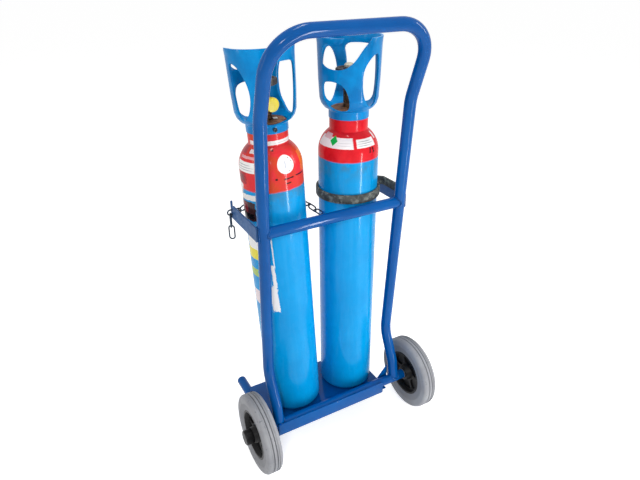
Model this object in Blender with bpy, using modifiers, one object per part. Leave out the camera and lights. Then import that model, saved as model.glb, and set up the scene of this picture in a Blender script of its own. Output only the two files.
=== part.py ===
"""Two-wheeled tube trolley carrying two gas cylinders.

Frame: +X is the right-hand side of the person who pushes the trolley, +Y is forward, +Z is up.
The origin lies on the floor, midway between the wheels, straight below the wheel axle.
All lengths are in metres.
"""

import math

import bmesh
import bpy
from mathutils import Matrix, Vector

# ---------------------------------------------------------------- driving dimensions

GAP = 0.0003  # clearance left between two pieces that touch

# tube frame: side view of one upright from its foot to the middle of the push bar
FRAME_TUBE_R = 0.01345
FRAME_SIDE_ROOM = 0.0228  # from a cylinder's side to the middle of an upright
UPRIGHT_FOOT_Y = 0.0010
KNEE_LOW_Y, KNEE_LOW_Z = 0.009, 0.152
KNEE_Y, KNEE_Z = 0.0487, 0.2355
ELBOW_Y, ELBOW_Z = 0.0037, 0.8676
BAR_Y, BAR_Z = -0.0543, 1.0279
KNEE_BEND_R = 0.090
ELBOW_BEND_R = 0.110
CORNER_BEND_R = 0.080

# crossbar and side arms
CROSSBAR_R = 0.0130
CROSSBAR_Z = 0.625
ARM_Z = 0.6268
ARM_HEIGHT = 0.033
ARM_THICK = 0.004
ARM_SHORT = 0.007  # how far the arm stops short of the cylinder's front
ARM_BACK = 0.001
HORN_LENGTH = 0.006
HORN_RISE = 0.010
NOTCH_WIDTH = 0.0050

# wheels and axle
WHEEL_R = 0.100
TYRE_WIDTH = 0.040
TYRE_SHOULDER_R = 0.010
RIM_R = 0.062
RIM_WIDTH = 0.034
HUB_R = 0.0190
HUB_WIDTH = 0.040
WHEEL_OUTSET = 0.0537  # from the middle of an upright to the middle of a wheel
AXLE_R = 0.006
HOUSING_R = 0.0125
WASHER_R = 0.0125
WASHER_THICK = 0.0020
BUSH_WALL = 0.0020
BUSH_FLANGE_R = 0.0115
BUSH_FLANGE_THICK = 0.0015
CAP_R = 0.0190
CAP_LENGTH = 0.020
CAP_WALL = 0.0025
GROOVE_DEPTH = 0.0022
GROOVE_HALF_WIDTH = 0.0016
GROOVE_SPACING = 0.0085
GROOVE_COUNT = 4
SPOKE_COUNT = 6
SPOKE_WIDTH = 0.009
POCKET_INNER_R = 0.026
POCKET_OUTER_R = 0.052
POCKET_FLOOR = 0.003
WEB_THICK = 0.012

# tray, foot tubes, legs and rubber feet
TRAY_THICK = 0.003
TRAY_FLOOR_Z = 0.0756
TRAY_LEFT_OUTSET, TRAY_RIGHT_INSET = 0.008, 0.025
TRAY_FRONT_ROOM = 0.0128
TRAY_LIP_TOP_Z = 0.1126
TRAY_BEND_R = 0.005
LIP_NOTCH = 0.020
FOOT_TUBE_R = 0.0125
FOOT_LEFT_OUTSET, FOOT_RIGHT_INSET = 0.0080, 0.0380
FOOT_REACH = 0.0559  # past the front of the tray
FOOT_BACK_Y = 0.055
PLUG_LIP_R = 0.0118
PLUG_THICK = 0.0020
LEG_R = 0.0100
LEG_INSET = 0.0275  # behind the front of the tray
RUBBER_R = 0.0150
RUBBER_HEIGHT = 0.022
RUBBER_FLOOR = 0.006
GUSSET_THICK = 0.003
GUSSET_REACH = 0.034
GUSSET_RISE = 0.052

# gas cylinders: heights are measured from the cylinder's own base
CYLINDER_R = 0.070
CYLINDER_SPACING = 0.0244  # free width between the two cylinders
CYLINDER_BASE_ROUND = 0.014
CYLINDER_SHOULDER_H = 0.6700
CYLINDER_DOME_RISE = 0.0640
CYLINDER_NECK_R = 0.0200
CYLINDER_NECK_RISE = 0.0275
CROSSBAR_REST_GAP = 0.0007
LEFT_LEAN_SIDE_ANGLE = 2.2448
LEFT_LEAN_FORWARD_ANGLE = 1.1343
LEFT_SHOULDER_DROP = 0.0080  # the left cylinder is this much shorter
RING_R = 0.0440
RING_SEAT_R = 0.0415
RING_ABOVE_NECK = 0.0030
RING_SEAT_DROP = 0.0180

# valve guard: heights are measured from its own bottom edge
GUARD_COLLAR_R = 0.0455
GUARD_COLLAR_HEIGHT = 0.0177
GUARD_BELLY_R = 0.0655
GUARD_BELLY_RISE = 0.0250
GUARD_TOP_R = 0.0715
GUARD_HEIGHT = 0.171
GUARD_WALL = 0.0048
GUARD_RING_HEIGHT = 0.015
WINDOW_CUT_INNER_R = 0.010
LEFT_SCREW_ANGLE, RIGHT_SCREW_ANGLE = 19.5, 150.0
GUARD_SCREW_R = 0.0045
GUARD_SCREW_LENGTH = 0.0035
RIGHT_GUARD_TURN = -121.8
LEFT_GUARD_TURN = -112.4

# guard openings: the way each one faces, then its outline as (across, up) in millimetres
RIGHT_WINDOWS = {
    "low": (-28, [
        (-29, 82), (-9, 86), (7, 84), (20, 78), (28, 65), (33, 42), (28, 26), (9, 19), (-6, 21),
        (-16, 31), (-28, 47), (-33, 66),
    ]),
    "mouth": (0, [
        (-57, 158), (-58, 122), (-50, 113), (-35, 109), (-16, 109), (0, 116), (14, 129), (28, 150),
        (44, 167), (58, 190), (-11, 190), (-11, 161), (-35, 160),
    ]),
    "lens": (45, [
        (17, 140), (7, 139), (-7, 130), (-18, 116), (-23, 100), (-23, 78), (-20, 58), (-12, 40),
        (4, 28), (14, 30), (18, 41), (21, 69), (23, 102), (22, 127),
    ]),
    "back": (155, [
        (-36, 146), (-40, 110), (-40, 60), (-34, 30), (-10, 22), (14, 22), (30, 40), (33, 80),
        (34, 115), (40, 147), (0, 149),
    ]),
    "side": (226, [
        (-3, 144), (-15, 136), (-25, 105), (-25, 66), (-16, 36), (0, 24), (12, 26), (21, 45),
        (24, 84), (20, 120), (10, 140),
    ]),
}
LEFT_WINDOWS = {
    "slant": (-50, [
        (-15, 144), (0, 143), (12, 134), (25, 112), (30, 89), (29, 70), (22, 45), (9, 33),
        (-3, 34), (-10, 54), (-13, 79), (-13, 104), (-16, 124),
    ]),
    "right": (30, [
        (-14, 143), (0, 145), (37, 144), (43, 127), (42, 92), (39, 57), (33, 36), (24, 22),
        (-2, 19), (-21, 19), (-30, 26), (-33, 50), (-31, 95), (-24, 128),
    ]),
    "shade": (118, [
        (-24, 145), (-34, 132), (-36, 98), (-34, 60), (-26, 34), (-8, 26), (13, 30), (28, 48),
        (34, 67), (36, 97), (32, 126), (22, 144), (0, 146),
    ]),
    "mouth": (218, [
        (-66, 190), (-65, 162), (-58, 140), (-45, 125), (-30, 119), (0, 117), (14, 118),
        (30, 125), (42, 138), (51, 153), (58, 163), (66, 170), (66, 190),
    ]),
    "low": (218, [
        (-22, 90), (-31, 80), (-33, 60), (-30, 34), (-16, 22), (8, 20), (26, 28), (34, 48),
        (33, 72), (24, 88), (0, 92),
    ]),
}

# valve
VALVE_BASE_R = 0.0135
VALVE_FLAT = 0.0130
VALVE_BASE_RISE = 0.0180
VALVE_BLOCK_RISE = 0.0370
VALVE_GLAND_R = 0.0095
VALVE_GLAND_RISE = 0.0150
OUTLET_DROP = 0.0130  # below the top of the block
OUTLET_R = 0.0100
OUTLET_REACH = 0.0300
OUTLET_CAP_R = 0.0148
OUTLET_CAP_LENGTH = 0.0110
OUTLET_CAP_OVERLAP = 0.0060
SPINDLE_R = 0.0040
HANDWHEEL_R = 0.0305
HANDWHEEL_RISE = 0.0080
HANDWHEEL_THICK = 0.0125
HANDWHEEL_LOBES = 8
HANDWHEEL_SCALLOP = 0.0016
BUTTON_R = 0.0110
BUTTON_THICK = 0.0100
LEFT_OUTLET_TURN = -85.0
RIGHT_OUTLET_TURN = -100.0

# chain on the left, worn band on the right
CHAIN_WIRE_R = 0.00175
CHAIN_PITCH = 0.030
CHAIN_WIDTH = 0.016
CHAIN_CONTACT = 0.0009
CHAIN_Z = 0.6265
CHAIN_STANDOFF = 0.0098
TAIL_LINKS = 2
TAIL_TWIST = 29.0
LUG_X = -0.020
LUG_RING_R = 0.0070
LUG_WIRE_R = 0.0022
LUG_SINK = 0.0004
BAND_HEIGHT = 0.021
BAND_THICK = 0.0055
BAND_Z = 0.6490
BAND_CLEAR = 0.0008
BAND_OPENING = 14.0

# how finely round forms are divided
STEPS_SMALL = 16
STEPS_MEDIUM = 24
STEPS_LARGE = 40

# ---------------------------------------------------------------- derived places


def upright_y(z):
    """Y of an upright's centre line at height z, on its straight length."""
    share = (z - KNEE_Z) / (ELBOW_Z - KNEE_Z)
    return KNEE_Y + share * (ELBOW_Y - KNEE_Y)


CROSSBAR_Y = upright_y(CROSSBAR_Z)
CYLINDER_X = CYLINDER_R + CYLINDER_SPACING / 2
CYLINDER_Y = CROSSBAR_Y + CROSSBAR_R + CYLINDER_R + CROSSBAR_REST_GAP
FRAME_HALF_WIDTH = CYLINDER_X + CYLINDER_R + FRAME_SIDE_ROOM
ARM_REACH = CROSSBAR_R + 2 * CYLINDER_R - ARM_SHORT
WHEEL_X = FRAME_HALF_WIDTH + WHEEL_OUTSET
TRAY_LEFT = -(FRAME_HALF_WIDTH + TRAY_LEFT_OUTSET)
TRAY_RIGHT = FRAME_HALF_WIDTH - TRAY_RIGHT_INSET
TRAY_FRONT_Y = CYLINDER_Y + CYLINDER_R + TRAY_FRONT_ROOM
FOOT_LEFT_X = -(FRAME_HALF_WIDTH + FOOT_LEFT_OUTSET)
FOOT_RIGHT_X = FRAME_HALF_WIDTH - FOOT_RIGHT_INSET
FOOT_FRONT_Y = TRAY_FRONT_Y + FOOT_REACH
LEG_Y = TRAY_FRONT_Y - LEG_INSET
MIDDLE_Y = (FOOT_FRONT_Y + GAP + PLUG_THICK - WHEEL_R) / 2  # of the whole trolley
CYLINDER_NECK_TOP_H = CYLINDER_SHOULDER_H + CYLINDER_DOME_RISE + CYLINDER_NECK_RISE
RING_TOP_H = CYLINDER_NECK_TOP_H + RING_ABOVE_NECK
RING_SEAT_H = RING_TOP_H - RING_SEAT_DROP
GUARD_BELLY_H = GUARD_COLLAR_HEIGHT + GUARD_BELLY_RISE
VALVE_BASE_TOP_H = CYLINDER_NECK_TOP_H + VALVE_BASE_RISE
VALVE_BLOCK_TOP_H = VALVE_BASE_TOP_H + VALVE_BLOCK_RISE
VALVE_GLAND_TOP_H = VALVE_BLOCK_TOP_H + VALVE_GLAND_RISE
OUTLET_H = VALVE_BLOCK_TOP_H - OUTLET_DROP
HANDWHEEL_BOTTOM_H = VALVE_GLAND_TOP_H + HANDWHEEL_RISE
LEFT_LEAN_SIDE = math.tan(math.radians(LEFT_LEAN_SIDE_ANGLE))
LEFT_LEAN_FORWARD = math.tan(math.radians(LEFT_LEAN_FORWARD_ANGLE))
TRAY_UNDER_Z = TRAY_FLOOR_Z - TRAY_THICK
FOOT_TUBE_Z = TRAY_UNDER_Z - GAP - FOOT_TUBE_R
AXLE_Z = WHEEL_R
HOUSING_HALF = WHEEL_X - HUB_WIDTH / 2 - WASHER_THICK - 3 * GAP
ARM_INNER_X = FRAME_HALF_WIDTH + FRAME_TUBE_R + GAP
ARM_Y = upright_y(ARM_Z)
ARM_TIP_Y = ARM_Y + ARM_REACH
BASE_R = CYLINDER_R - CYLINDER_BASE_ROUND
BORE_R = AXLE_R + GAP
BUSH_R = BORE_R + BUSH_WALL
LEFT_LEAN = math.hypot(LEFT_LEAN_SIDE, LEFT_LEAN_FORWARD)
LINK_END = CHAIN_WIDTH / 2 - CHAIN_WIRE_R

COLOURS = {
    "frame_paint": ((0.010, 0.115, 0.455), 0.30, 0.0),
    "cylinder_blue": ((0.010, 0.330, 0.760), 0.35, 0.0),
    "ring_red": ((0.720, 0.020, 0.030), 0.40, 0.0),
    "guard_blue": ((0.015, 0.250, 0.640), 0.45, 0.0),
    "grey_rubber": ((0.480, 0.480, 0.500), 0.75, 0.0),
    "black_plastic": ((0.010, 0.010, 0.011), 0.45, 0.0),
    "black_rubber": ((0.030, 0.027, 0.025), 0.85, 0.0),
    "steel": ((0.450, 0.460, 0.480), 0.35, 1.0),
    "dark_steel": ((0.090, 0.100, 0.120), 0.45, 1.0),
    "brass": ((0.300, 0.190, 0.080), 0.45, 1.0),
    "handwheel_brown": ((0.055, 0.045, 0.040), 0.60, 0.0),
    "cap_yellow": ((0.880, 0.760, 0.110), 0.50, 0.0),
    "cap_cream": ((0.800, 0.760, 0.660), 0.50, 0.0),
}

# moves the trolley's own Y = 0, over the axle, back, so that the origin is under its middle
TO_MIDDLE = Matrix.Translation((0, -MIDDLE_Y, 0))

# turns a flat outline's X, Y and Z into the trolley's Y, Z and X
SIDE_ON = Matrix(((0, 0, 1, 0), (1, 0, 0, 0), (0, 1, 0, 0), (0, 0, 0, 1)))

# ---------------------------------------------------------------- scene and object helpers


def clear_scene():
    """Remove every object that the scene starts with."""
    for obj in list(bpy.data.objects):
        bpy.data.objects.remove(obj, do_unlink=True)


def make_collection(name):
    """A new collection under the scene."""
    collection = bpy.data.collections.new(name)
    bpy.context.scene.collection.children.link(collection)
    return collection


def finish_material(name):
    """The material of one finish, made when it is first asked for."""
    if name in bpy.data.materials:
        return bpy.data.materials[name]
    colour, roughness, metallic = COLOURS[name]
    material = bpy.data.materials.new(name)
    material.use_nodes = True
    shader = material.node_tree.nodes["Principled BSDF"]
    shader.inputs["Base Color"].default_value = (*colour, 1.0)
    shader.inputs["Roughness"].default_value = roughness
    shader.inputs["Metallic"].default_value = metallic
    return material


def placed(place, parent):
    """An object's own matrix: a free one is counted from the axle, a child from its parent."""
    own = place if place is not None else Matrix.Identity(4)
    return own if parent is not None else TO_MIDDLE @ own


def add_part(name, data, finish, place=None, parent=None):
    """Put mesh or curve data in the scene as one named part."""
    obj = bpy.data.objects.new(name, data)
    PARTS.objects.link(obj)
    data.materials.append(finish_material(finish))
    obj.parent = parent
    obj.matrix_basis = placed(place, parent)
    return obj


def add_cutter(name, data, place=None, parent=None):
    """Put mesh data in the scene as a hidden cutter."""
    obj = bpy.data.objects.new(name, data)
    CUTTERS.objects.link(obj)
    obj.parent = parent
    obj.matrix_basis = placed(place, parent)
    obj.hide_render = True
    obj.display_type = "WIRE"
    return obj


def add_pivot(name, place, parent=None):
    """An empty that carries the pieces of one moving assembly."""
    obj = bpy.data.objects.new(name, None)
    PARTS.objects.link(obj)
    obj.parent = parent
    obj.matrix_basis = placed(place, parent)
    return obj


def combine(target, other, operation):
    """Cut `other` from `target`, or join it on."""
    modifier = target.modifiers.new(operation.title() + " " + other.name, "BOOLEAN")
    modifier.operation = operation
    modifier.solver = "EXACT"
    modifier.object = other
    return modifier


def round_edges(obj, width, segments=1):
    """Bevel the sharp edges of a part."""
    modifier = obj.modifiers.new("Rounded edges", "BEVEL")
    modifier.width = width
    modifier.segments = segments
    modifier.limit_method = "ANGLE"
    modifier.angle_limit = math.radians(40)
    return modifier


def smooth(mesh, angle=35):
    """Smooth shading with sharp edges past an angle."""
    mesh.shade_smooth()
    mesh.set_sharp_from_angle(angle=math.radians(angle))


# ---------------------------------------------------------------- shape helpers


def place_at(location, along="Z", turn=0.0):
    """A matrix that moves to `location`, with local Z turned to face `along`."""
    turns = {
        "Z": Matrix.Identity(4),
        "X": Matrix.Rotation(math.pi / 2, 4, "Y"),
        "-X": Matrix.Rotation(-math.pi / 2, 4, "Y"),
        "Y": Matrix.Rotation(-math.pi / 2, 4, "X"),
        "-Y": Matrix.Rotation(math.pi / 2, 4, "X"),
    }
    return Matrix.Translation(location) @ turns[along] @ Matrix.Rotation(turn, 4, "Z")


def box_mesh(name, low, high):
    """A box between two corners."""
    mesh = bpy.data.meshes.new(name)
    bm = bmesh.new()
    bmesh.ops.create_cube(bm, size=1.0)
    size = Vector(high) - Vector(low)
    bmesh.ops.scale(bm, vec=size, verts=bm.verts)
    bmesh.ops.translate(bm, vec=(Vector(low) + Vector(high)) / 2, verts=bm.verts)
    bm.to_mesh(mesh)
    bm.free()
    return mesh


def rod_mesh(name, radius, low, high, steps=STEPS_MEDIUM):
    """A round rod along local Z from `low` to `high`."""
    mesh = bpy.data.meshes.new(name)
    bm = bmesh.new()
    bmesh.ops.create_cone(
        bm, cap_ends=True, segments=steps, radius1=radius, radius2=radius, depth=high - low
    )
    bmesh.ops.translate(bm, vec=(0, 0, (low + high) / 2), verts=bm.verts)
    bm.to_mesh(mesh)
    bm.free()
    smooth(mesh)
    return mesh


def turned_part(name, profile, finish, place, parent=None, closed=False, steps=STEPS_MEDIUM):
    """A part turned about local Z from a profile that runs down its outer side."""
    mesh = bpy.data.meshes.new(name)
    bm = bmesh.new()
    verts = [bm.verts.new((radius, 0, height)) for radius, height in profile]
    for start, end in zip(verts, verts[1:]):
        bm.edges.new((start, end))
    if closed:
        bm.edges.new((verts[-1], verts[0]))
    bm.to_mesh(mesh)
    bm.free()
    obj = add_part(name, mesh, finish, place, parent)
    add_screw(obj, steps)
    return obj


def add_screw(obj, steps):
    """Turn an object's profile once about its local Z."""
    screw = obj.modifiers.new("Turned", "SCREW")
    screw.steps = steps
    screw.render_steps = steps
    screw.use_merge_vertices = True
    screw.merge_threshold = 0.00005
    screw.use_smooth_shade = True
    return screw


def ring_profile(inner, outer, low, high):
    """The closed profile of a plain ring, down its outer side first."""
    return [(outer, high), (outer, low), (inner, low), (inner, high)]


def arc(centre, radius, start, end, count):
    """Points on an arc in a plane, both ends included, with angles in degrees."""
    points = []
    for index in range(count):
        angle = math.radians(start + (end - start) * index / (count - 1))
        points.append((centre[0] + radius * math.cos(angle), centre[1] + radius * math.sin(angle)))
    return points


def bent_path(corners, radii, count):
    """Straight runs through `corners`, with each inner corner rounded to its radius."""
    path = [Vector(corners[0])]
    for index, radius in enumerate(radii, start=1):
        corner = Vector(corners[index])
        back = (Vector(corners[index - 1]) - corner).normalized()
        ahead = (Vector(corners[index + 1]) - corner).normalized()
        half = back.angle(ahead) / 2
        centre = corner + (back + ahead).normalized() * radius / math.sin(half)
        start = corner + back * radius / math.tan(half) - centre
        end = corner + ahead * radius / math.tan(half) - centre
        sweep = start.angle(end)
        for step in range(count):
            share = step / (count - 1)
            weight_a = math.sin((1 - share) * sweep) / math.sin(sweep)
            weight_b = math.sin(share * sweep) / math.sin(sweep)
            path.append(centre + start * weight_a + end * weight_b)
    path.append(Vector(corners[-1]))
    return path


def wire_curve(name, points, radius, cyclic=False, detail=3):
    """A round wire or tube along points, with filled ends."""
    curve = bpy.data.curves.new(name, "CURVE")
    curve.dimensions = "3D"
    curve.bevel_depth = radius
    curve.bevel_resolution = detail
    curve.use_fill_caps = not cyclic
    spline = curve.splines.new("POLY")
    spline.points.add(len(points) - 1)
    for target, point in zip(spline.points, points):
        target.co = (*point, 1.0)
    spline.use_cyclic_u = cyclic
    return curve


def outline_curve(name, points, thickness):
    """A flat outline in local XY, filled and thickened about its plane."""
    curve = bpy.data.curves.new(name, "CURVE")
    curve.dimensions = "2D"
    curve.fill_mode = "BOTH"
    curve.extrude = thickness / 2
    spline = curve.splines.new("POLY")
    spline.points.add(len(points) - 1)
    for target, point in zip(spline.points, points):
        target.co = (point[0], point[1], 0.0, 1.0)
    spline.use_cyclic_u = True
    return curve


def mesh_from_curve(curve):
    """The closed mesh of a curve, with its caps welded; the curve is removed."""
    holder = bpy.data.objects.new(curve.name, curve)
    bpy.context.scene.collection.objects.link(holder)
    graph = bpy.context.evaluated_depsgraph_get()
    mesh = bpy.data.meshes.new_from_object(holder.evaluated_get(graph))
    bpy.data.objects.remove(holder, do_unlink=True)
    bpy.data.curves.remove(curve)
    bm = bmesh.new()
    bm.from_mesh(mesh)
    bmesh.ops.remove_doubles(bm, verts=bm.verts, dist=0.00002)
    bmesh.ops.recalc_face_normals(bm, faces=bm.faces)
    bm.to_mesh(mesh)
    bm.free()
    smooth(mesh)
    return mesh


def join_meshes(name, pieces):
    """One mesh from several (mesh, matrix) pairs, each kept as its own body."""
    joined = bpy.data.meshes.new(name)
    bm = bmesh.new()
    for mesh, matrix in pieces:
        before = len(bm.verts)
        bm.from_mesh(mesh)
        bm.verts.ensure_lookup_table()
        bmesh.ops.transform(bm, matrix=matrix, verts=bm.verts[before:])
    bm.to_mesh(joined)
    bm.free()
    return joined


# ---------------------------------------------------------------- tube frame


def frame_corners():
    """The corners of the frame's centre line, from the left foot over to the right foot."""
    side = [
        (UPRIGHT_FOOT_Y, AXLE_Z + HOUSING_R / 2),
        (KNEE_LOW_Y, KNEE_LOW_Z),
        (KNEE_Y, KNEE_Z),
        (ELBOW_Y, ELBOW_Z),
        (BAR_Y, BAR_Z),
    ]
    left = [(-FRAME_HALF_WIDTH, y, z) for y, z in side]
    right = [(FRAME_HALF_WIDTH, y, z) for y, z in reversed(side)]
    return left + right


def build_frame_loop():
    """The bent tube that makes both uprights and the push bar."""
    radii = [KNEE_BEND_R / 2, KNEE_BEND_R, ELBOW_BEND_R, CORNER_BEND_R]
    path = bent_path(frame_corners(), radii + radii[::-1], 7)
    mesh = mesh_from_curve(wire_curve("frame_loop", path, FRAME_TUBE_R))
    frame_loop = add_part("frame_loop", mesh, "frame_paint")
    notch = rod_mesh("foot_notch", HOUSING_R + GAP, -HOUSING_HALF, HOUSING_HALF)
    cutter = add_cutter("foot_notch", notch, place_at((0, 0, AXLE_Z), "X"))
    combine(frame_loop, cutter, "DIFFERENCE")


def upright_cutter(name, side):
    """A cutter along one upright's straight length, a gap wider than the tube."""
    low = Vector((side * FRAME_HALF_WIDTH, upright_y(CROSSBAR_Z - 0.06), CROSSBAR_Z - 0.06))
    high = Vector((side * FRAME_HALF_WIDTH, upright_y(CROSSBAR_Z + 0.06), CROSSBAR_Z + 0.06))
    mesh = mesh_from_curve(wire_curve(name, [low, high], FRAME_TUBE_R + GAP, detail=4))
    return add_cutter(name, mesh)


def build_crossbar():
    """The round bar between the uprights, with both ends notched to fit them."""
    reach = FRAME_HALF_WIDTH - FRAME_TUBE_R / 2
    mesh = rod_mesh("crossbar", CROSSBAR_R, -reach, reach, STEPS_SMALL)
    place = place_at((0, CROSSBAR_Y, CROSSBAR_Z), "X")
    crossbar = add_part("crossbar", mesh, "frame_paint", place)
    for side, word in ((-1, "left"), (1, "right")):
        combine(crossbar, upright_cutter(word + "_upright_notch", side), "DIFFERENCE")


def notch_middle_y():
    """Y of the middle of the chain notch near an arm's tip."""
    return ARM_TIP_Y - HORN_LENGTH - NOTCH_WIDTH / 2


def build_arm(side, word):
    """A flat bar on an upright's outer side, with a chain notch behind a raised horn."""
    half = ARM_HEIGHT / 2
    top = half + HORN_RISE
    floor = CHAIN_Z - ARM_Z - CHAIN_WIDTH / 2 - GAP
    front = notch_middle_y() + NOTCH_WIDTH / 2
    outline = [
        (ARM_Y - ARM_BACK, -half),
        (ARM_TIP_Y - 0.005, -half),
        (ARM_TIP_Y - 0.001, -half + 0.002),
        (ARM_TIP_Y, -half + 0.007),
        (ARM_TIP_Y, top - 0.004),
        (ARM_TIP_Y - 0.002, top - 0.001),
        (front + 0.002, top),
        (front, top - 0.002),
        (front, floor + 0.0015),
        (front - 0.0015, floor),
        (front - NOTCH_WIDTH + 0.0015, floor),
        (front - NOTCH_WIDTH, floor + 0.0015),
        (front - NOTCH_WIDTH, half - 0.002),
        (front - NOTCH_WIDTH - 0.002, half),
        (ARM_Y - ARM_BACK, half),
    ]
    mesh = mesh_from_curve(outline_curve(word + "_arm", outline, ARM_THICK))
    middle = side * (ARM_INNER_X + ARM_THICK / 2)
    arm = add_part(word + "_arm", mesh, "frame_paint", Matrix.Translation((middle, 0, ARM_Z)) @ SIDE_ON)
    round_edges(arm, 0.0004)


def build_axle_housing():
    """The round tube that the axle runs in."""
    profile = ring_profile(BORE_R, HOUSING_R, -HOUSING_HALF, HOUSING_HALF)
    place = place_at((0, 0, AXLE_Z), "X")
    turned_part("axle_housing", profile, "frame_paint", place, closed=True)


def build_tray():
    """The folded plate that the cylinders stand on, with its rear lip on the axle housing."""
    inner_y = -HOUSING_R - GAP
    outer_y = inner_y - TRAY_THICK
    inside = arc((inner_y + TRAY_BEND_R, TRAY_FLOOR_Z + TRAY_BEND_R), TRAY_BEND_R, 270, 180, 4)
    outside = arc(
        (inner_y + TRAY_BEND_R, TRAY_FLOOR_Z + TRAY_BEND_R), TRAY_BEND_R + TRAY_THICK, 180, 270, 5
    )
    outline = [(TRAY_FRONT_Y, TRAY_UNDER_Z), (TRAY_FRONT_Y, TRAY_FLOOR_Z)]
    outline += inside
    outline += [(inner_y, TRAY_LIP_TOP_Z), (outer_y, TRAY_LIP_TOP_Z)]
    outline += outside
    mesh = mesh_from_curve(outline_curve("tray", outline, TRAY_RIGHT - TRAY_LEFT))
    place = Matrix.Translation(((TRAY_LEFT + TRAY_RIGHT) / 2, 0, 0)) @ SIDE_ON
    tray = add_part("tray", mesh, "frame_paint", place)
    low = (TRAY_RIGHT - LIP_NOTCH, outer_y - TRAY_THICK, TRAY_UNDER_Z - TRAY_THICK)
    high = (TRAY_RIGHT + LIP_NOTCH, inner_y + 2 * TRAY_BEND_R, TRAY_LIP_TOP_Z + TRAY_THICK)
    notch = add_cutter("lip_notch", box_mesh("lip_notch", low, high))
    combine(tray, notch, "DIFFERENCE")


def build_foot(x, word):
    """One foot tube under the tray, with its end plug, its leg and its rubber foot."""
    tube = rod_mesh(word + "_foot_tube", FOOT_TUBE_R, FOOT_BACK_Y, FOOT_FRONT_Y)
    place = place_at((x, 0, FOOT_TUBE_Z), "Y")
    add_part(word + "_foot_tube", tube, "frame_paint", place)
    plug_low = FOOT_FRONT_Y + GAP
    plug = rod_mesh(word + "_foot_plug", PLUG_LIP_R, plug_low, plug_low + PLUG_THICK)
    add_part(word + "_foot_plug", plug, "black_plastic", place)
    leg_mesh = rod_mesh(word + "_leg", LEG_R, RUBBER_FLOOR + GAP, FOOT_TUBE_Z, STEPS_SMALL)
    leg = add_part(word + "_leg", leg_mesh, "frame_paint", place_at((x, LEG_Y, 0)))
    seat = rod_mesh(word + "_leg_seat", FOOT_TUBE_R + GAP, LEG_Y - 2 * LEG_R, LEG_Y + 2 * LEG_R)
    combine(leg, add_cutter(word + "_leg_seat", seat, place), "DIFFERENCE")
    profile = [
        (RUBBER_R - 0.002, RUBBER_HEIGHT),
        (RUBBER_R, 0.0),
        (0.0, 0.0),
    ]
    cup = [(0.0, RUBBER_FLOOR), (LEG_R + GAP, RUBBER_FLOOR), (LEG_R + GAP, RUBBER_HEIGHT)]
    turned_part(
        word + "_rubber_foot", cup + profile, "black_rubber", place_at((x, LEG_Y, 0)),
        steps=STEPS_SMALL,
    )


def build_gusset():
    """The small corner plate between the right upright's foot and the axle housing."""
    outer_x = FRAME_HALF_WIDTH - FRAME_TUBE_R - GAP
    low_z = TRAY_FLOOR_Z + GAP
    outline = [
        (outer_x - GUSSET_REACH, low_z),
        (outer_x, low_z),
        (outer_x, AXLE_Z + GUSSET_RISE - HOUSING_R),
        (outer_x - GUSSET_REACH, AXLE_Z),
    ]
    mesh = mesh_from_curve(outline_curve("right_gusset", outline, GUSSET_THICK))
    # local X, Y of the outline are the trolley's X, Z
    turn = Matrix(((1, 0, 0, 0), (0, 0, -1, 0), (0, 1, 0, 0), (0, 0, 0, 1)))
    y = HOUSING_R + GAP + GUSSET_THICK / 2
    add_part("right_gusset", mesh, "frame_paint", Matrix.Translation((0, y, 0)) @ turn)


# ---------------------------------------------------------------- wheels


def tyre_profile():
    """Half section of the solid tyre: rounded shoulders and a ribbed tread."""
    half = TYRE_WIDTH / 2
    corner = WHEEL_R - TYRE_SHOULDER_R
    tread_half = half - TYRE_SHOULDER_R
    points = arc((corner, tread_half), TYRE_SHOULDER_R, 80, 0, 4)
    first = (GROOVE_COUNT - 1) / 2 * GROOVE_SPACING
    for index in range(GROOVE_COUNT):
        middle = first - index * GROOVE_SPACING
        crown = WHEEL_R - abs(middle) * abs(middle) / (4 * WHEEL_R)
        if abs(middle) + GROOVE_HALF_WIDTH > tread_half:
            crown -= GROOVE_DEPTH / 2
        points += [
            (crown, middle + GROOVE_HALF_WIDTH),
            (crown - GROOVE_DEPTH, middle),
            (crown, middle - GROOVE_HALF_WIDTH),
        ]
    points += arc((corner, -tread_half), TYRE_SHOULDER_R, 0, -80, 4)
    seat = RIM_R + GAP
    points += [(seat, -RIM_WIDTH / 2), (seat, RIM_WIDTH / 2)]
    return points


def rim_profile():
    """Half section of the plastic rim: hub, web and tyre seat."""
    half, hub = RIM_WIDTH / 2, HUB_WIDTH / 2
    bore = BUSH_R + GAP
    web = WEB_THICK / 2
    flange_in = RIM_R - 0.005
    return [
        (RIM_R, half), (RIM_R, -half),
        (flange_in, -half), (flange_in - 0.002, -web),
        (HUB_R + 0.004, -web), (HUB_R, -hub),
        (bore, -hub), (bore, hub),
        (HUB_R, hub), (HUB_R + 0.004, web),
        (flange_in - 0.002, web), (flange_in, half),
    ]


def pocket_mesh(name):
    """One cutter for the pocket between two spokes, on one side of the web."""
    half_turn = math.pi / SPOKE_COUNT
    corners = []
    for radius in (POCKET_INNER_R, POCKET_OUTER_R):
        reach = half_turn - math.asin(SPOKE_WIDTH / 2 / radius)
        corners.append((radius, reach))
    outline = []
    (inner, inner_reach), (outer, outer_reach) = corners
    for share in (-1, 0, 1):
        outline.append((outer * math.cos(share * outer_reach), outer * math.sin(share * outer_reach)))
    for share in (1, 0, -1):
        outline.append((inner * math.cos(share * inner_reach), inner * math.sin(share * inner_reach)))
    return mesh_from_curve(outline_curve(name, outline, 3 * WEB_THICK))


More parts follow.
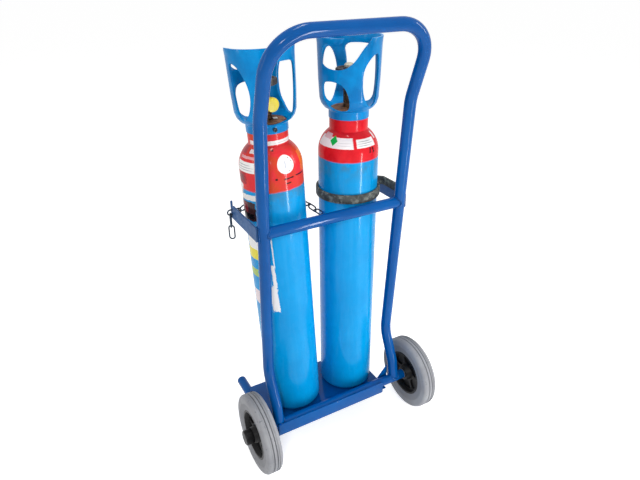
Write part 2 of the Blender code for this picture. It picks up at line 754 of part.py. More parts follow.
def build_wheel(side, word):
    """One wheel: bush, rim, tyre and hub cap on the axle's pivot."""
    facing = "X" if side > 0 else "-X"
    pivot = add_pivot(word + "_wheel_pivot", place_at((side * WHEEL_X, 0, AXLE_Z), facing))
    here = Matrix.Identity(4)
    turned_part(word + "_tyre", tyre_profile(), "grey_rubber", here, pivot, True, STEPS_LARGE)
    rim = turned_part(word + "_rim", rim_profile(), "black_plastic", here, pivot, True, 36)
    turns = [Matrix.Rotation(2 * math.pi * i / SPOKE_COUNT, 4, "Z") for i in range(SPOKE_COUNT)]
    pocket = pocket_mesh(word + "_pocket")
    shift = Matrix.Translation((0, 0, 1.5 * WEB_THICK + POCKET_FLOOR / 2))
    both_sides = [move @ turn for move in (shift, shift.inverted()) for turn in turns]
    pockets = join_meshes(word + "_pockets", [(pocket, place) for place in both_sides])
    combine(rim, add_cutter(word + "_pockets", pockets, here, pivot), "DIFFERENCE")
    half = HUB_WIDTH / 2
    bush = [
        (BUSH_FLANGE_R, -half - GAP),
        (BUSH_FLANGE_R, -half - GAP - BUSH_FLANGE_THICK),
        (BORE_R, -half - GAP - BUSH_FLANGE_THICK),
        (BORE_R, half),
        (BUSH_R, half),
        (BUSH_R, -half - GAP),
    ]
    turned_part(word + "_bush", bush, "steel", here, pivot, True, STEPS_SMALL)
    base = half + GAP
    cap = [
        (0.0, base + CAP_LENGTH),
        (CAP_R - 0.004, base + CAP_LENGTH),
        (CAP_R - 0.001, base + CAP_LENGTH - 0.004),
        (CAP_R, base),
        (CAP_R - CAP_WALL, base),
        (CAP_R - CAP_WALL, base + CAP_LENGTH - 0.006),
        (0.0, base + CAP_LENGTH - 0.006),
    ]
    turned_part(word + "_hub_cap", cap, "black_plastic", here, pivot, False, STEPS_SMALL + 4)


def build_axle():
    """The axle with the spacer washers beside the housing and the clips outside the hubs."""
    end = WHEEL_X + HUB_WIDTH / 2 + CAP_LENGTH / 2
    mesh = rod_mesh("axle", AXLE_R, -end, end, STEPS_SMALL)
    add_part("axle", mesh, "steel", place_at((0, 0, AXLE_Z), "X"))
    for side, word in ((-1, "left"), (1, "right")):
        facing = "X" if side > 0 else "-X"
        place = place_at((0, 0, AXLE_Z), facing)
        low = HOUSING_HALF + GAP
        washer = ring_profile(BORE_R, WASHER_R, low, low + WASHER_THICK - BUSH_FLANGE_THICK)
        turned_part(word + "_spacer_washer", washer, "steel", place, None, True, STEPS_SMALL)
        low = WHEEL_X + HUB_WIDTH / 2 + GAP
        clip = ring_profile(BORE_R, HUB_R / 2 + AXLE_R / 2, low, low + WASHER_THICK)
        turned_part(word + "_axle_clip", clip, "steel", place, None, True, STEPS_SMALL)


# ---------------------------------------------------------------- gas cylinders


def dome_height(radius):
    """Height of the shoulder's surface at a radius."""
    return CYLINDER_SHOULDER_H + CYLINDER_DOME_RISE * math.sqrt(1 - (radius / CYLINDER_R) ** 2)


def cylinder_profile(drop):
    """The steel cylinder's outer line, from its neck, lowered by `drop`, down to its base."""
    points = [(0.0, CYLINDER_NECK_TOP_H), (CYLINDER_NECK_R, CYLINDER_NECK_TOP_H)]
    points.append((CYLINDER_NECK_R, dome_height(CYLINDER_NECK_R)))
    neck_angle = math.acos(CYLINDER_NECK_R / CYLINDER_R)
    count = 8
    for index in range(1, count + 1):
        angle = neck_angle * (1 - index / count)
        radius = CYLINDER_R * math.cos(angle)
        points.append((radius, CYLINDER_SHOULDER_H + CYLINDER_DOME_RISE * math.sin(angle)))
    points = [(radius, height - drop) for radius, height in points]
    points += arc((BASE_R, CYLINDER_BASE_ROUND), CYLINDER_BASE_ROUND, 0, -90, 5)
    points.append((0.0, 0.0))
    return points


def ring_outline():
    """The neck ring: a collar whose underside follows the shoulder."""
    bore = CYLINDER_NECK_R + GAP
    foot = RING_R - 0.0005
    points = [(RING_SEAT_R, RING_TOP_H), (RING_SEAT_R, RING_SEAT_H), (RING_R, RING_SEAT_H)]
    points.append((RING_R, dome_height(RING_R) + 2 * GAP))
    for share in (0.0, 0.33, 0.67, 1.0):
        radius = foot + (bore - foot) * share
        points.append((radius, dome_height(radius) + 3 * GAP))
    points.append((bore, RING_TOP_H))
    return points


def guard_wall_line():
    """Points on the guard's outer line, from its bottom edge up."""
    return [
        (GUARD_COLLAR_R, 0.0),
        (GUARD_COLLAR_R, GUARD_COLLAR_HEIGHT),
        (GUARD_COLLAR_R + 0.0100, GUARD_COLLAR_HEIGHT + 0.0055),
        (GUARD_BELLY_R - 0.0035, GUARD_BELLY_H - 0.0110),
        (GUARD_BELLY_R, GUARD_BELLY_H),
        (GUARD_BELLY_R + 0.0025, GUARD_BELLY_H * 2),
        (GUARD_TOP_R - 0.0015, GUARD_HEIGHT - GUARD_RING_HEIGHT),
        (GUARD_TOP_R, GUARD_HEIGHT),
    ]


def guard_profile():
    """The guard's closed wall section, down its outer side first."""
    outer = guard_wall_line()
    collar_inner = RING_SEAT_R + GAP
    inner = []
    for radius, height in outer:
        inner.append((max(radius - GUARD_WALL, collar_inner), height))
    inner[1] = (collar_inner, GUARD_COLLAR_HEIGHT + GUARD_WALL / 2)
    inner[2] = (inner[2][0], inner[2][1] + GUARD_WALL / 2)
    return outer[::-1] + inner


def eased(outline):
    """A closed outline with each corner cut once at a quarter of its sides."""
    points = []
    for (x, y), (next_x, next_y) in zip(outline, outline[1:] + outline[:1]):
        points.append((x * 0.75 + next_x * 0.25, y * 0.75 + next_y * 0.25))
        points.append((x * 0.25 + next_x * 0.75, y * 0.25 + next_y * 0.75))
    return points


def window_mesh(name, outline_mm):
    """A cutter through one wall, pointing along local X; its outline is scaled to the guard."""
    across, up = GUARD_TOP_R / 71.5, GUARD_HEIGHT / 171.0
    outline = [(x * across, z * up) for x, z in eased(outline_mm)]
    depth = GUARD_TOP_R
    mesh = mesh_from_curve(outline_curve(name, outline, depth))
    mesh.transform(Matrix.Translation((WINDOW_CUT_INNER_R + depth / 2, 0, 0)) @ SIDE_ON)
    return mesh


def build_guard(word, turn, windows, screw_angle, parent):
    """The guard round the valve and the screw that clamps it to the neck ring."""
    place = Matrix.Translation((0, 0, RING_SEAT_H + GAP)) @ Matrix.Rotation(
        math.radians(turn), 4, "Z"
    )
    guard = turned_part(
        word + "_guard", guard_profile(), "guard_blue", place, parent, True, STEPS_LARGE
    )
    for label, (angle, outline) in windows.items():
        name = f"{word}_guard_{label}"
        facing = place @ Matrix.Rotation(math.radians(angle), 4, "Z")
        cutter = add_cutter(name, window_mesh(name, outline), facing, parent)
        combine(guard, cutter, "DIFFERENCE")
    low = GUARD_COLLAR_R + GAP
    screw = rod_mesh(
        word + "_guard_screw", GUARD_SCREW_R, low, low + GUARD_SCREW_LENGTH, STEPS_SMALL
    )
    facing = (
        place
        @ Matrix.Rotation(math.radians(screw_angle), 4, "Z")
        @ place_at((0, 0, GUARD_COLLAR_HEIGHT / 2), "X")
    )
    add_part(word + "_guard_screw", screw, "dark_steel", facing, parent)


def build_valve(word, turn, parent):
    """The valve: body with its outlet, dust cap, spindle, handwheel and button."""
    base = CYLINDER_NECK_TOP_H + GAP
    profile = [
        (0.0, VALVE_GLAND_TOP_H), (VALVE_GLAND_R, VALVE_GLAND_TOP_H),
        (VALVE_GLAND_R, VALVE_BLOCK_TOP_H), (VALVE_FLAT, VALVE_BLOCK_TOP_H),
        (VALVE_FLAT, VALVE_BASE_TOP_H), (VALVE_BASE_R, VALVE_BASE_TOP_H - 0.004),
        (VALVE_BASE_R, base), (0.0, base),
    ]
    here = Matrix.Rotation(math.radians(turn), 4, "Z")
    body = turned_part(word + "_valve_body", profile, "brass", here, parent, False, STEPS_SMALL)
    outlet = rod_mesh(word + "_outlet", OUTLET_R, 0.0, OUTLET_REACH, STEPS_SMALL)
    outlet_place = here @ place_at((0, 0, OUTLET_H), "X")
    cutter = add_cutter(word + "_outlet", outlet, outlet_place, parent)
    combine(body, cutter, "UNION")
    skirt = OUTLET_REACH - OUTLET_CAP_OVERLAP
    cap = [
        (0.0, skirt + OUTLET_CAP_LENGTH), (OUTLET_CAP_R - 0.001, skirt + OUTLET_CAP_LENGTH),
        (OUTLET_CAP_R, skirt + OUTLET_CAP_LENGTH - 0.001), (OUTLET_CAP_R, skirt),
        (OUTLET_R + GAP, skirt), (OUTLET_R + GAP, OUTLET_REACH + GAP), (0.0, OUTLET_REACH + GAP),
    ]
    turned_part(
        word + "_outlet_cap", cap, "cap_yellow", outlet_place, parent, False, STEPS_MEDIUM
    )
    spindle_low = VALVE_GLAND_TOP_H + GAP
    spindle = rod_mesh(
        word + "_spindle", SPINDLE_R, spindle_low, HANDWHEEL_BOTTOM_H - GAP, STEPS_SMALL
    )
    add_part(word + "_spindle", spindle, "steel", None, parent)
    outline = []
    for index in range(6 * HANDWHEEL_LOBES):
        angle = 2 * math.pi * index / (6 * HANDWHEEL_LOBES)
        radius = HANDWHEEL_R - HANDWHEEL_SCALLOP * (1 + math.cos(HANDWHEEL_LOBES * angle)) / 2
        outline.append((radius * math.cos(angle), radius * math.sin(angle)))
    mesh = mesh_from_curve(outline_curve(word + "_handwheel", outline, HANDWHEEL_THICK))
    middle = HANDWHEEL_BOTTOM_H + HANDWHEEL_THICK / 2
    add_part(
        word + "_handwheel", mesh, "handwheel_brown", Matrix.Translation((0, 0, middle)), parent
    )
    low = HANDWHEEL_BOTTOM_H + HANDWHEEL_THICK + GAP
    button = [
        (0.0, low + BUTTON_THICK), (BUTTON_R - 0.002, low + BUTTON_THICK),
        (BUTTON_R, low + BUTTON_THICK - 0.002), (BUTTON_R, low), (0.0, low),
    ]
    turned_part(word + "_handwheel_cap", button, "cap_cream", None, parent, False, STEPS_SMALL)


def build_gas_cylinder(word, place, drop, guard, outlet_turn):
    """One gas cylinder with everything that lifts out with it; `drop` lowers all from the neck."""
    seat = add_pivot(word + "_cylinder_seat", place)
    turned_part(
        word + "_cylinder", cylinder_profile(drop), "cylinder_blue", None, seat, False, STEPS_LARGE
    )
    head = add_pivot(word + "_cylinder_head", Matrix.Translation((0, 0, -drop)), seat)
    turned_part(
        word + "_neck_ring", ring_outline(), "ring_red", None, head, True, STEPS_MEDIUM + 8
    )
    build_guard(word, *guard, head)
    build_valve(word, outlet_turn, head)


def right_cylinder_place():
    """The right cylinder stands upright against the crossbar."""
    return Matrix.Translation((CYLINDER_X, CYLINDER_Y, TRAY_FLOOR_Z + GAP))


def left_cylinder_place():
    """The left cylinder leans outwards and a little forward on the edge of its base."""
    lean = Vector((-LEFT_LEAN_SIDE, LEFT_LEAN_FORWARD, 1.0)).normalized()
    turn = Vector((0, 0, 1)).rotation_difference(lean).to_matrix().to_4x4()
    lift = BASE_R * math.sin(math.atan(LEFT_LEAN))
    return Matrix.Translation((-CYLINDER_X, CYLINDER_Y, TRAY_FLOOR_Z + GAP + lift)) @ turn


# ---------------------------------------------------------------- chain and band


def link_mesh(name, reach):
    """One oval chain link in its local XY plane, long along X."""
    straight = reach - LINK_END
    points = []
    for x, y in arc((straight, 0), LINK_END, -90, 90, 6):
        points.append((x, y, 0))
    for x, y in arc((-straight, 0), LINK_END, 90, 270, 6):
        points.append((x, y, 0))
    return mesh_from_curve(wire_curve(name, points, CHAIN_WIRE_R, cyclic=True, detail=1))


def tangent_point(centre, radius, point, side):
    """Where a line from `point` touches a circle, on the side given by +1 or -1."""
    offset = point - centre
    angle = math.atan2(offset.y, offset.x) + side * math.acos(radius / offset.length)
    return centre + Vector((radius * math.cos(angle), radius * math.sin(angle))), angle


def chain_end():
    """Where the last link's outer end lies, in plan, outside the left arm's notch."""
    clear = (LINK_END + GAP) * math.sin(math.radians(TAIL_TWIST)) + GAP
    return Vector((-(ARM_INNER_X + ARM_THICK + clear + LINK_END), notch_middle_y()))


def chain_route():
    """The chain's pivots run along this line: from the lug, round the left cylinder, to the notch."""
    place = left_cylinder_place()
    axis = place @ Vector((0, 0, CHAIN_Z - place.translation.z))
    centre = Vector((axis.x, axis.y))
    radius = CYLINDER_R + CHAIN_STANDOFF
    front = lug_middle_y() + LUG_RING_R - LUG_WIRE_R
    start = Vector((LUG_X, front - GAP - CHAIN_CONTACT / 2))
    end = chain_end() + Vector((CHAIN_PITCH, 0.0))
    first, first_angle = tangent_point(centre, radius, start, 1)
    last, last_angle = tangent_point(centre, radius, end, -1)
    route = [start]
    last_angle += 2 * math.pi * (last_angle < first_angle)
    count = 60
    for index in range(count + 1):
        angle = first_angle + (last_angle - first_angle) * index / count
        route.append(centre + radius * Vector((math.cos(angle), math.sin(angle))))
    route.append(end)
    return route


def walk(route, distance):
    """The point at a distance along a route."""
    for start, end in zip(route, route[1:]):
        length = (end - start).length
        if distance <= length:
            return start + (end - start) * distance / length
        distance -= length
    return route[-1] + (route[-1] - route[-2]).normalized() * distance


def route_length(route):
    """The whole length of a route."""
    return sum((end - start).length for start, end in zip(route, route[1:]))


def lug_middle_y():
    """Y of the middle of the lug's ring, which is welded to the front of the crossbar."""
    return CROSSBAR_Y + CROSSBAR_R + LUG_RING_R - LUG_SINK


def build_lug():
    """The ring on the crossbar that holds the chain's first link."""
    points = [(0, y, z) for y, z in arc((0, 0), LUG_RING_R, 0, 337.5, 16)]
    mesh = mesh_from_curve(wire_curve("chain_lug", points, LUG_WIRE_R, cyclic=True, detail=1))
    place = Matrix.Translation((LUG_X, lug_middle_y(), CHAIN_Z))
    lug = add_part("chain_lug", mesh, "frame_paint", place)
    seat = rod_mesh("lug_seat", CROSSBAR_R + GAP, -2 * LUG_RING_R, 2 * LUG_RING_R)
    cutter = add_cutter("lug_seat", seat, place_at((LUG_X, CROSSBAR_Y, CROSSBAR_Z), "X"))
    combine(lug, cutter, "DIFFERENCE")


def build_chain():
    """The retaining chain: links that lie flat and on edge in turn, touching at their ends."""
    route = chain_route()
    length = route_length(route)
    count = 2 * round((length / CHAIN_PITCH - 1) / 2) + 1
    pivots = [walk(route, length * index / count) for index in range(count + 1)]
    pivots.append(chain_end())
    flat, upright = [], []
    for index, (behind, ahead) in enumerate(zip(pivots, pivots[1:])):
        middle, run = (behind + ahead) / 2, ahead - behind
        link = link_mesh("chain_link", run.length / 2 + CHAIN_WIRE_R - CHAIN_CONTACT / 2)
        matrix = Matrix.Translation((middle.x, middle.y, CHAIN_Z)) @ Matrix.Rotation(
            math.atan2(run.y, run.x), 4, "Z"
        )
        if index % 2:
            upright.append((link, matrix @ Matrix.Rotation(math.pi / 2, 4, "X")))
        else:
            flat.append((link, matrix))
    chain = add_part("retaining_chain", join_meshes("retaining_chain", upright), "dark_steel")
    other = add_cutter("flat_links", join_meshes("flat_links", flat))
    combine(chain, other, "UNION")


def build_tail():
    """The spare links that hang outside the notch in the left arm's tip."""
    half = CHAIN_PITCH / 2 + CHAIN_WIRE_R + GAP / 2
    end = chain_end()
    x = end.x - (CHAIN_WIRE_R - CHAIN_CONTACT / 2) + LINK_END
    top = CHAIN_Z - LINK_END + 2 * CHAIN_WIRE_R + GAP
    down = Matrix.Rotation(math.pi / 2, 4, "Y")
    for index in range(TAIL_LINKS):
        name = f"tail_link_{index + 1}"
        place = Matrix.Translation((x, end.y, top - half - index * CHAIN_PITCH))
        twist = Matrix.Rotation(math.radians(90 * (index % 2) - TAIL_TWIST), 4, "Z")
        add_part(name, link_mesh(name, half), "dark_steel", place @ twist @ down)


def band_route():
    """The band in plan: once round the right cylinder, with its end running to the arm."""
    radius = CYLINDER_R + BAND_CLEAR + BAND_THICK / 2
    centre = Vector((CYLINDER_X, CYLINDER_Y))
    start = Vector((ARM_INNER_X - GAP - BAND_THICK / 2, ARM_Y + FRAME_TUBE_R))
    corner = Vector((start.x, CYLINDER_Y))
    lead, lead_angle = tangent_point(centre, radius, corner, 1)
    route = [start, corner]
    sweep = 2 * math.pi - math.radians(BAND_OPENING)
    count = 36
    for index in range(count + 1):
        angle = lead_angle + sweep * index / count
        route.append(centre + radius * Vector((math.cos(angle), math.sin(angle))))
    return route


def build_band():
    """The worn band that holds the right cylinder back to its arm."""
    curve = bpy.data.curves.new("retaining_band", "CURVE")
    curve.dimensions = "3D"
    curve.extrude = BAND_HEIGHT / 2
    route = band_route()
    spline = curve.splines.new("POLY")
    spline.points.add(len(route) - 1)
    for target, point in zip(spline.points, route):
        target.co = (point.x, point.y, 0.0, 1.0)
    band = add_part(
        "retaining_band", mesh_from_curve(curve), "black_rubber", Matrix.Translation((0, 0, BAND_Z))
    )
    wall = band.modifiers.new("Wall", "SOLIDIFY")
    wall.thickness = BAND_THICK
    wall.offset = 0.0


# ---------------------------------------------------------------- assembly

clear_scene()
PARTS = make_collection("gas_cylinder_trolley")
CUTTERS = make_collection("cutters")

build_frame_loop()
build_crossbar()
build_arm(-1, "left")
build_arm(1, "right")
build_axle_housing()
build_axle()
build_tray()
build_foot(FOOT_LEFT_X, "left")
build_foot(FOOT_RIGHT_X, "right")
build_gusset()
build_wheel(-1, "left")
build_wheel(1, "right")
LEFT_GUARD = (LEFT_GUARD_TURN, LEFT_WINDOWS, LEFT_SCREW_ANGLE)
RIGHT_GUARD = (RIGHT_GUARD_TURN, RIGHT_WINDOWS, RIGHT_SCREW_ANGLE)
build_gas_cylinder(
    "left", left_cylinder_place(), LEFT_SHOULDER_DROP, LEFT_GUARD, LEFT_OUTLET_TURN
)
build_gas_cylinder("right", right_cylinder_place(), 0.0, RIGHT_GUARD, RIGHT_OUTLET_TURN)
build_lug()
build_chain()
build_tail()
build_band()
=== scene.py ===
"""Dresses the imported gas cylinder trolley: finer forms, painted and worn finishes, studio and camera.

Lengths are in metres unless a name ends in _mm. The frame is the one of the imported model:
+X is the pusher's right, +Y is forward, +Z is up, and the wheels stand on Z = 0.
"""

import logging
import math
from dataclasses import dataclass
from enum import Enum
from typing import Any, Iterable, Sequence

import bmesh
import bpy
from mathutils import Matrix, Vector, noise


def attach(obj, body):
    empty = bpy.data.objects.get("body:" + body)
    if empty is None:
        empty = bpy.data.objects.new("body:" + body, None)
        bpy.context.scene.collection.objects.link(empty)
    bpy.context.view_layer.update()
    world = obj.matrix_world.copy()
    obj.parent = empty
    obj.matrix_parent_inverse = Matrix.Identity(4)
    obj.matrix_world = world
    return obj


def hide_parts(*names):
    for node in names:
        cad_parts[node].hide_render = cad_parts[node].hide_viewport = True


LOG = logging.getLogger("trolley")
Colour = tuple[float, float, float, float]

# Pieces are built with Y = 0 over the wheel axle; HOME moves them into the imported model's frame.
HOME = Matrix.Translation((0, -0.0728355, 0))
# The wheel axle as the pieces are built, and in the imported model.
AXLE_BUILT = Vector((0, 0, 0.1))
AXLE = HOME @ AXLE_BUILT
# Play between two pieces that are pushed together.
CLEARANCE = 0.0003
# Turns a flat outline's X, Y and Z into Y, Z and X.
SIDE_ON = Matrix(((0, 0, 1, 0), (1, 0, 0, 0), (0, 1, 0, 0), (0, 0, 0, 1)))


# ---------------------------------------------------------------- colours and nodes


def linear(code: str) -> Colour:
    """Turn an sRGB hex colour into linear values.

    Args:
        code: Six hex digits with a leading hash.

    Returns:
        Linear red, green, blue and an alpha of one.
    """
    values = [int(code[start:start + 2], 16) / 255 for start in (1, 3, 5)]
    bent = [v / 12.92 if v <= 0.04045 else ((v + 0.055) / 1.055) ** 2.4 for v in values]
    return (bent[0], bent[1], bent[2], 1.0)


def add_node(tree: bpy.types.NodeTree, kind: str, settings: dict[Any, Any] | None = None,
             links: dict[Any, bpy.types.NodeSocket] | None = None) -> bpy.types.Node:
    """Add one node with its settings and links.

    Args:
        tree: The tree that gets the node.
        kind: The node's type, without the ShaderNode that all of them start with.
        settings: Attribute names, or input names with a capital or input numbers, and their values.
        links: Input names or numbers, and the sockets that feed them.

    Returns:
        The new node.
    """
    node = tree.nodes.new("ShaderNode" + kind)
    for key, value in (settings or {}).items():
        if isinstance(key, int) or key[0].isupper():
            node.inputs[key].default_value = value
        else:
            setattr(node, key, value)
    for key, socket in (links or {}).items():
        tree.links.new(socket, node.inputs[key])
    return node


def patches(tree: bpy.types.NodeTree, coords: bpy.types.NodeSocket, size_mm: float, low: float,
            high: float, detail: float = 3.0, stretch: Sequence[float] = (1, 1, 1)) -> bpy.types.NodeSocket:
    """A soft random mask whose blotches have a real size.

    Args:
        tree: The material's tree.
        coords: Where the pattern is read.
        size_mm: The width of one blotch.
        low: The noise level at which the mask begins.
        high: The noise level at which the mask is full.
        detail: How many finer layers the noise has.
        stretch: How many times longer a blotch is along X, Y and Z.

    Returns:
        The mask, from 0 to 1.
    """
    scale = [1 / value for value in stretch]
    mapping = add_node(tree, "Mapping", {"Scale": scale}, {"Vector": coords})
    cloud = add_node(tree, "TexNoise", {"Scale": 1000 / size_mm / 2, "Detail": detail, "Roughness": 0.6},
                     {"Vector": mapping.outputs[0]})
    ramp = add_node(tree, "MapRange", {1: low, 2: high}, {0: cloud.outputs[0]})
    return ramp.outputs[0]


# ---------------------------------------------------------------- finishes


@dataclass(frozen=True)
class Finish:
    """A surface with drifting colour, a fine grain and wear.

    Colours are sRGB hex values; sizes are in real millimetres.

    Attributes:
        name: The material's name.
        colour: The main tone.
        shade: The tone that it drifts into.
        wear: The colour of small worn spots.
        rough: The least and the greatest roughness.
        metallic: How metallic it is, from 0 to 1.
        drift_mm: The width of the tone's blotches.
        drift: The noise levels at which the shade begins and is full.
        grain_mm: The width of the grain.
        grain_height_mm: The height of the grain.
        wear_mm: The width of a worn spot.
        wear_level: The noise levels at which wear begins and is full.
        coat: The strength of the clear coat.
        coat_rough: The roughness of the clear coat.
        ior: The refractive index where it isn't a metal.
        sheen: The strength of the plain reflection; 0.5 is that of the index.
    """

    name: str
    colour: str
    shade: str
    wear: str
    rough: tuple[float, float] = (0.35, 0.5)
    metallic: float = 0.0
    drift_mm: float = 50.0
    drift: tuple[float, float] = (0.35, 0.75)
    grain_mm: float = 1.5
    grain_height_mm: float = 0.04
    wear_mm: float = 3.0
    wear_level: tuple[float, float] = (0.70, 0.73)
    coat: float = 0.0
    coat_rough: float = 0.09
    ior: float = 1.5
    sheen: float = 0.5

    def coords(self, tree: bpy.types.NodeTree) -> bpy.types.NodeSocket:
        """Where the patterns are read: the piece's own frame, in metres."""
        return add_node(tree, "TexCoord").outputs["Object"]

    def paint(self, tree: bpy.types.NodeTree, coords: bpy.types.NodeSocket) -> bpy.types.NodeSocket:
        """The colour: two tones that drift into each other, and small worn spots.

        Args:
            tree: The material's tree.
            coords: Where the patterns are read.

        Returns:
            The colour's socket.
        """
        tone = add_node(tree, "Mix", {"data_type": "RGBA", 6: linear(self.colour), 7: linear(self.shade)},
                        {0: patches(tree, coords, self.drift_mm, *self.drift)})
        spots = patches(tree, coords, self.wear_mm, *self.wear_level, detail=5.0)
        worn = add_node(tree, "Mix", {"data_type": "RGBA", 7: linear(self.wear)},
                        {0: spots, 6: tone.outputs[2]})
        return worn.outputs[2]

    def relief(self, tree: bpy.types.NodeTree, coords: bpy.types.NodeSocket) -> bpy.types.NodeSocket:
        """The bump of the surface's grain.

        Args:
            tree: The material's tree.
            coords: Where the patterns are read.

        Returns:
            The bent normal's socket.
        """
        grain = add_node(tree, "TexNoise", {"Scale": 1000 / self.grain_mm / 2, "Detail": 2.0},
                         {"Vector": coords})
        bump = add_node(tree, "Bump", {"Strength": 0.6, "Distance": self.grain_height_mm / 1000},
                        {"Height": grain.outputs[0]})
        return bump.outputs[0]

    def material(self) -> bpy.types.Material:
        """The finish as a Blender material, made when it is first asked for.

        Returns:
            The material.
        """
        if self.name in bpy.data.materials:
            return bpy.data.materials[self.name]
        material = bpy.data.materials.new(self.name)
        material.use_nodes = True
        tree = material.node_tree
        shader = tree.nodes["Principled BSDF"]
        coords = self.coords(tree)
        tree.links.new(self.paint(tree, coords), shader.inputs["Base Color"])
        tree.links.new(self.relief(tree, coords), shader.inputs["Normal"])
        gloss = add_node(tree, "MapRange", {3: self.rough[0], 4: self.rough[1]},
                         {0: patches(tree, coords, self.drift_mm / 3, 0.3, 0.7)})
        tree.links.new(gloss.outputs[0], shader.inputs["Roughness"])
        shader.inputs["Metallic"].default_value = self.metallic
        shader.inputs["Coat Weight"].default_value = self.coat
        shader.inputs["Coat Roughness"].default_value = self.coat_rough
        shader.inputs["Specular IOR Level"].default_value = self.sheen
        if self.metallic < 0.5:
            shader.inputs["IOR"].default_value = self.ior
        return material


class Shape(Enum):
    """The outline of a mark on a cylinder."""

    BOX = "box"
    ROUND = "round"
    DIAMOND = "diamond"


@dataclass(frozen=True)
class Mark:
    """A bare label, a smear, a spot or a patch of painted shade on a cylinder, between two heights and two
    turns.

    Turns are in degrees from the side that faces the camera, positive to the camera's right.
    """

    heights_mm: tuple[float, float]
    turns_deg: tuple[float, float]
    colour: str
    ragged_mm: float = 0.5
    tilt_deg: float = 0.0
    shape: Shape = Shape.BOX


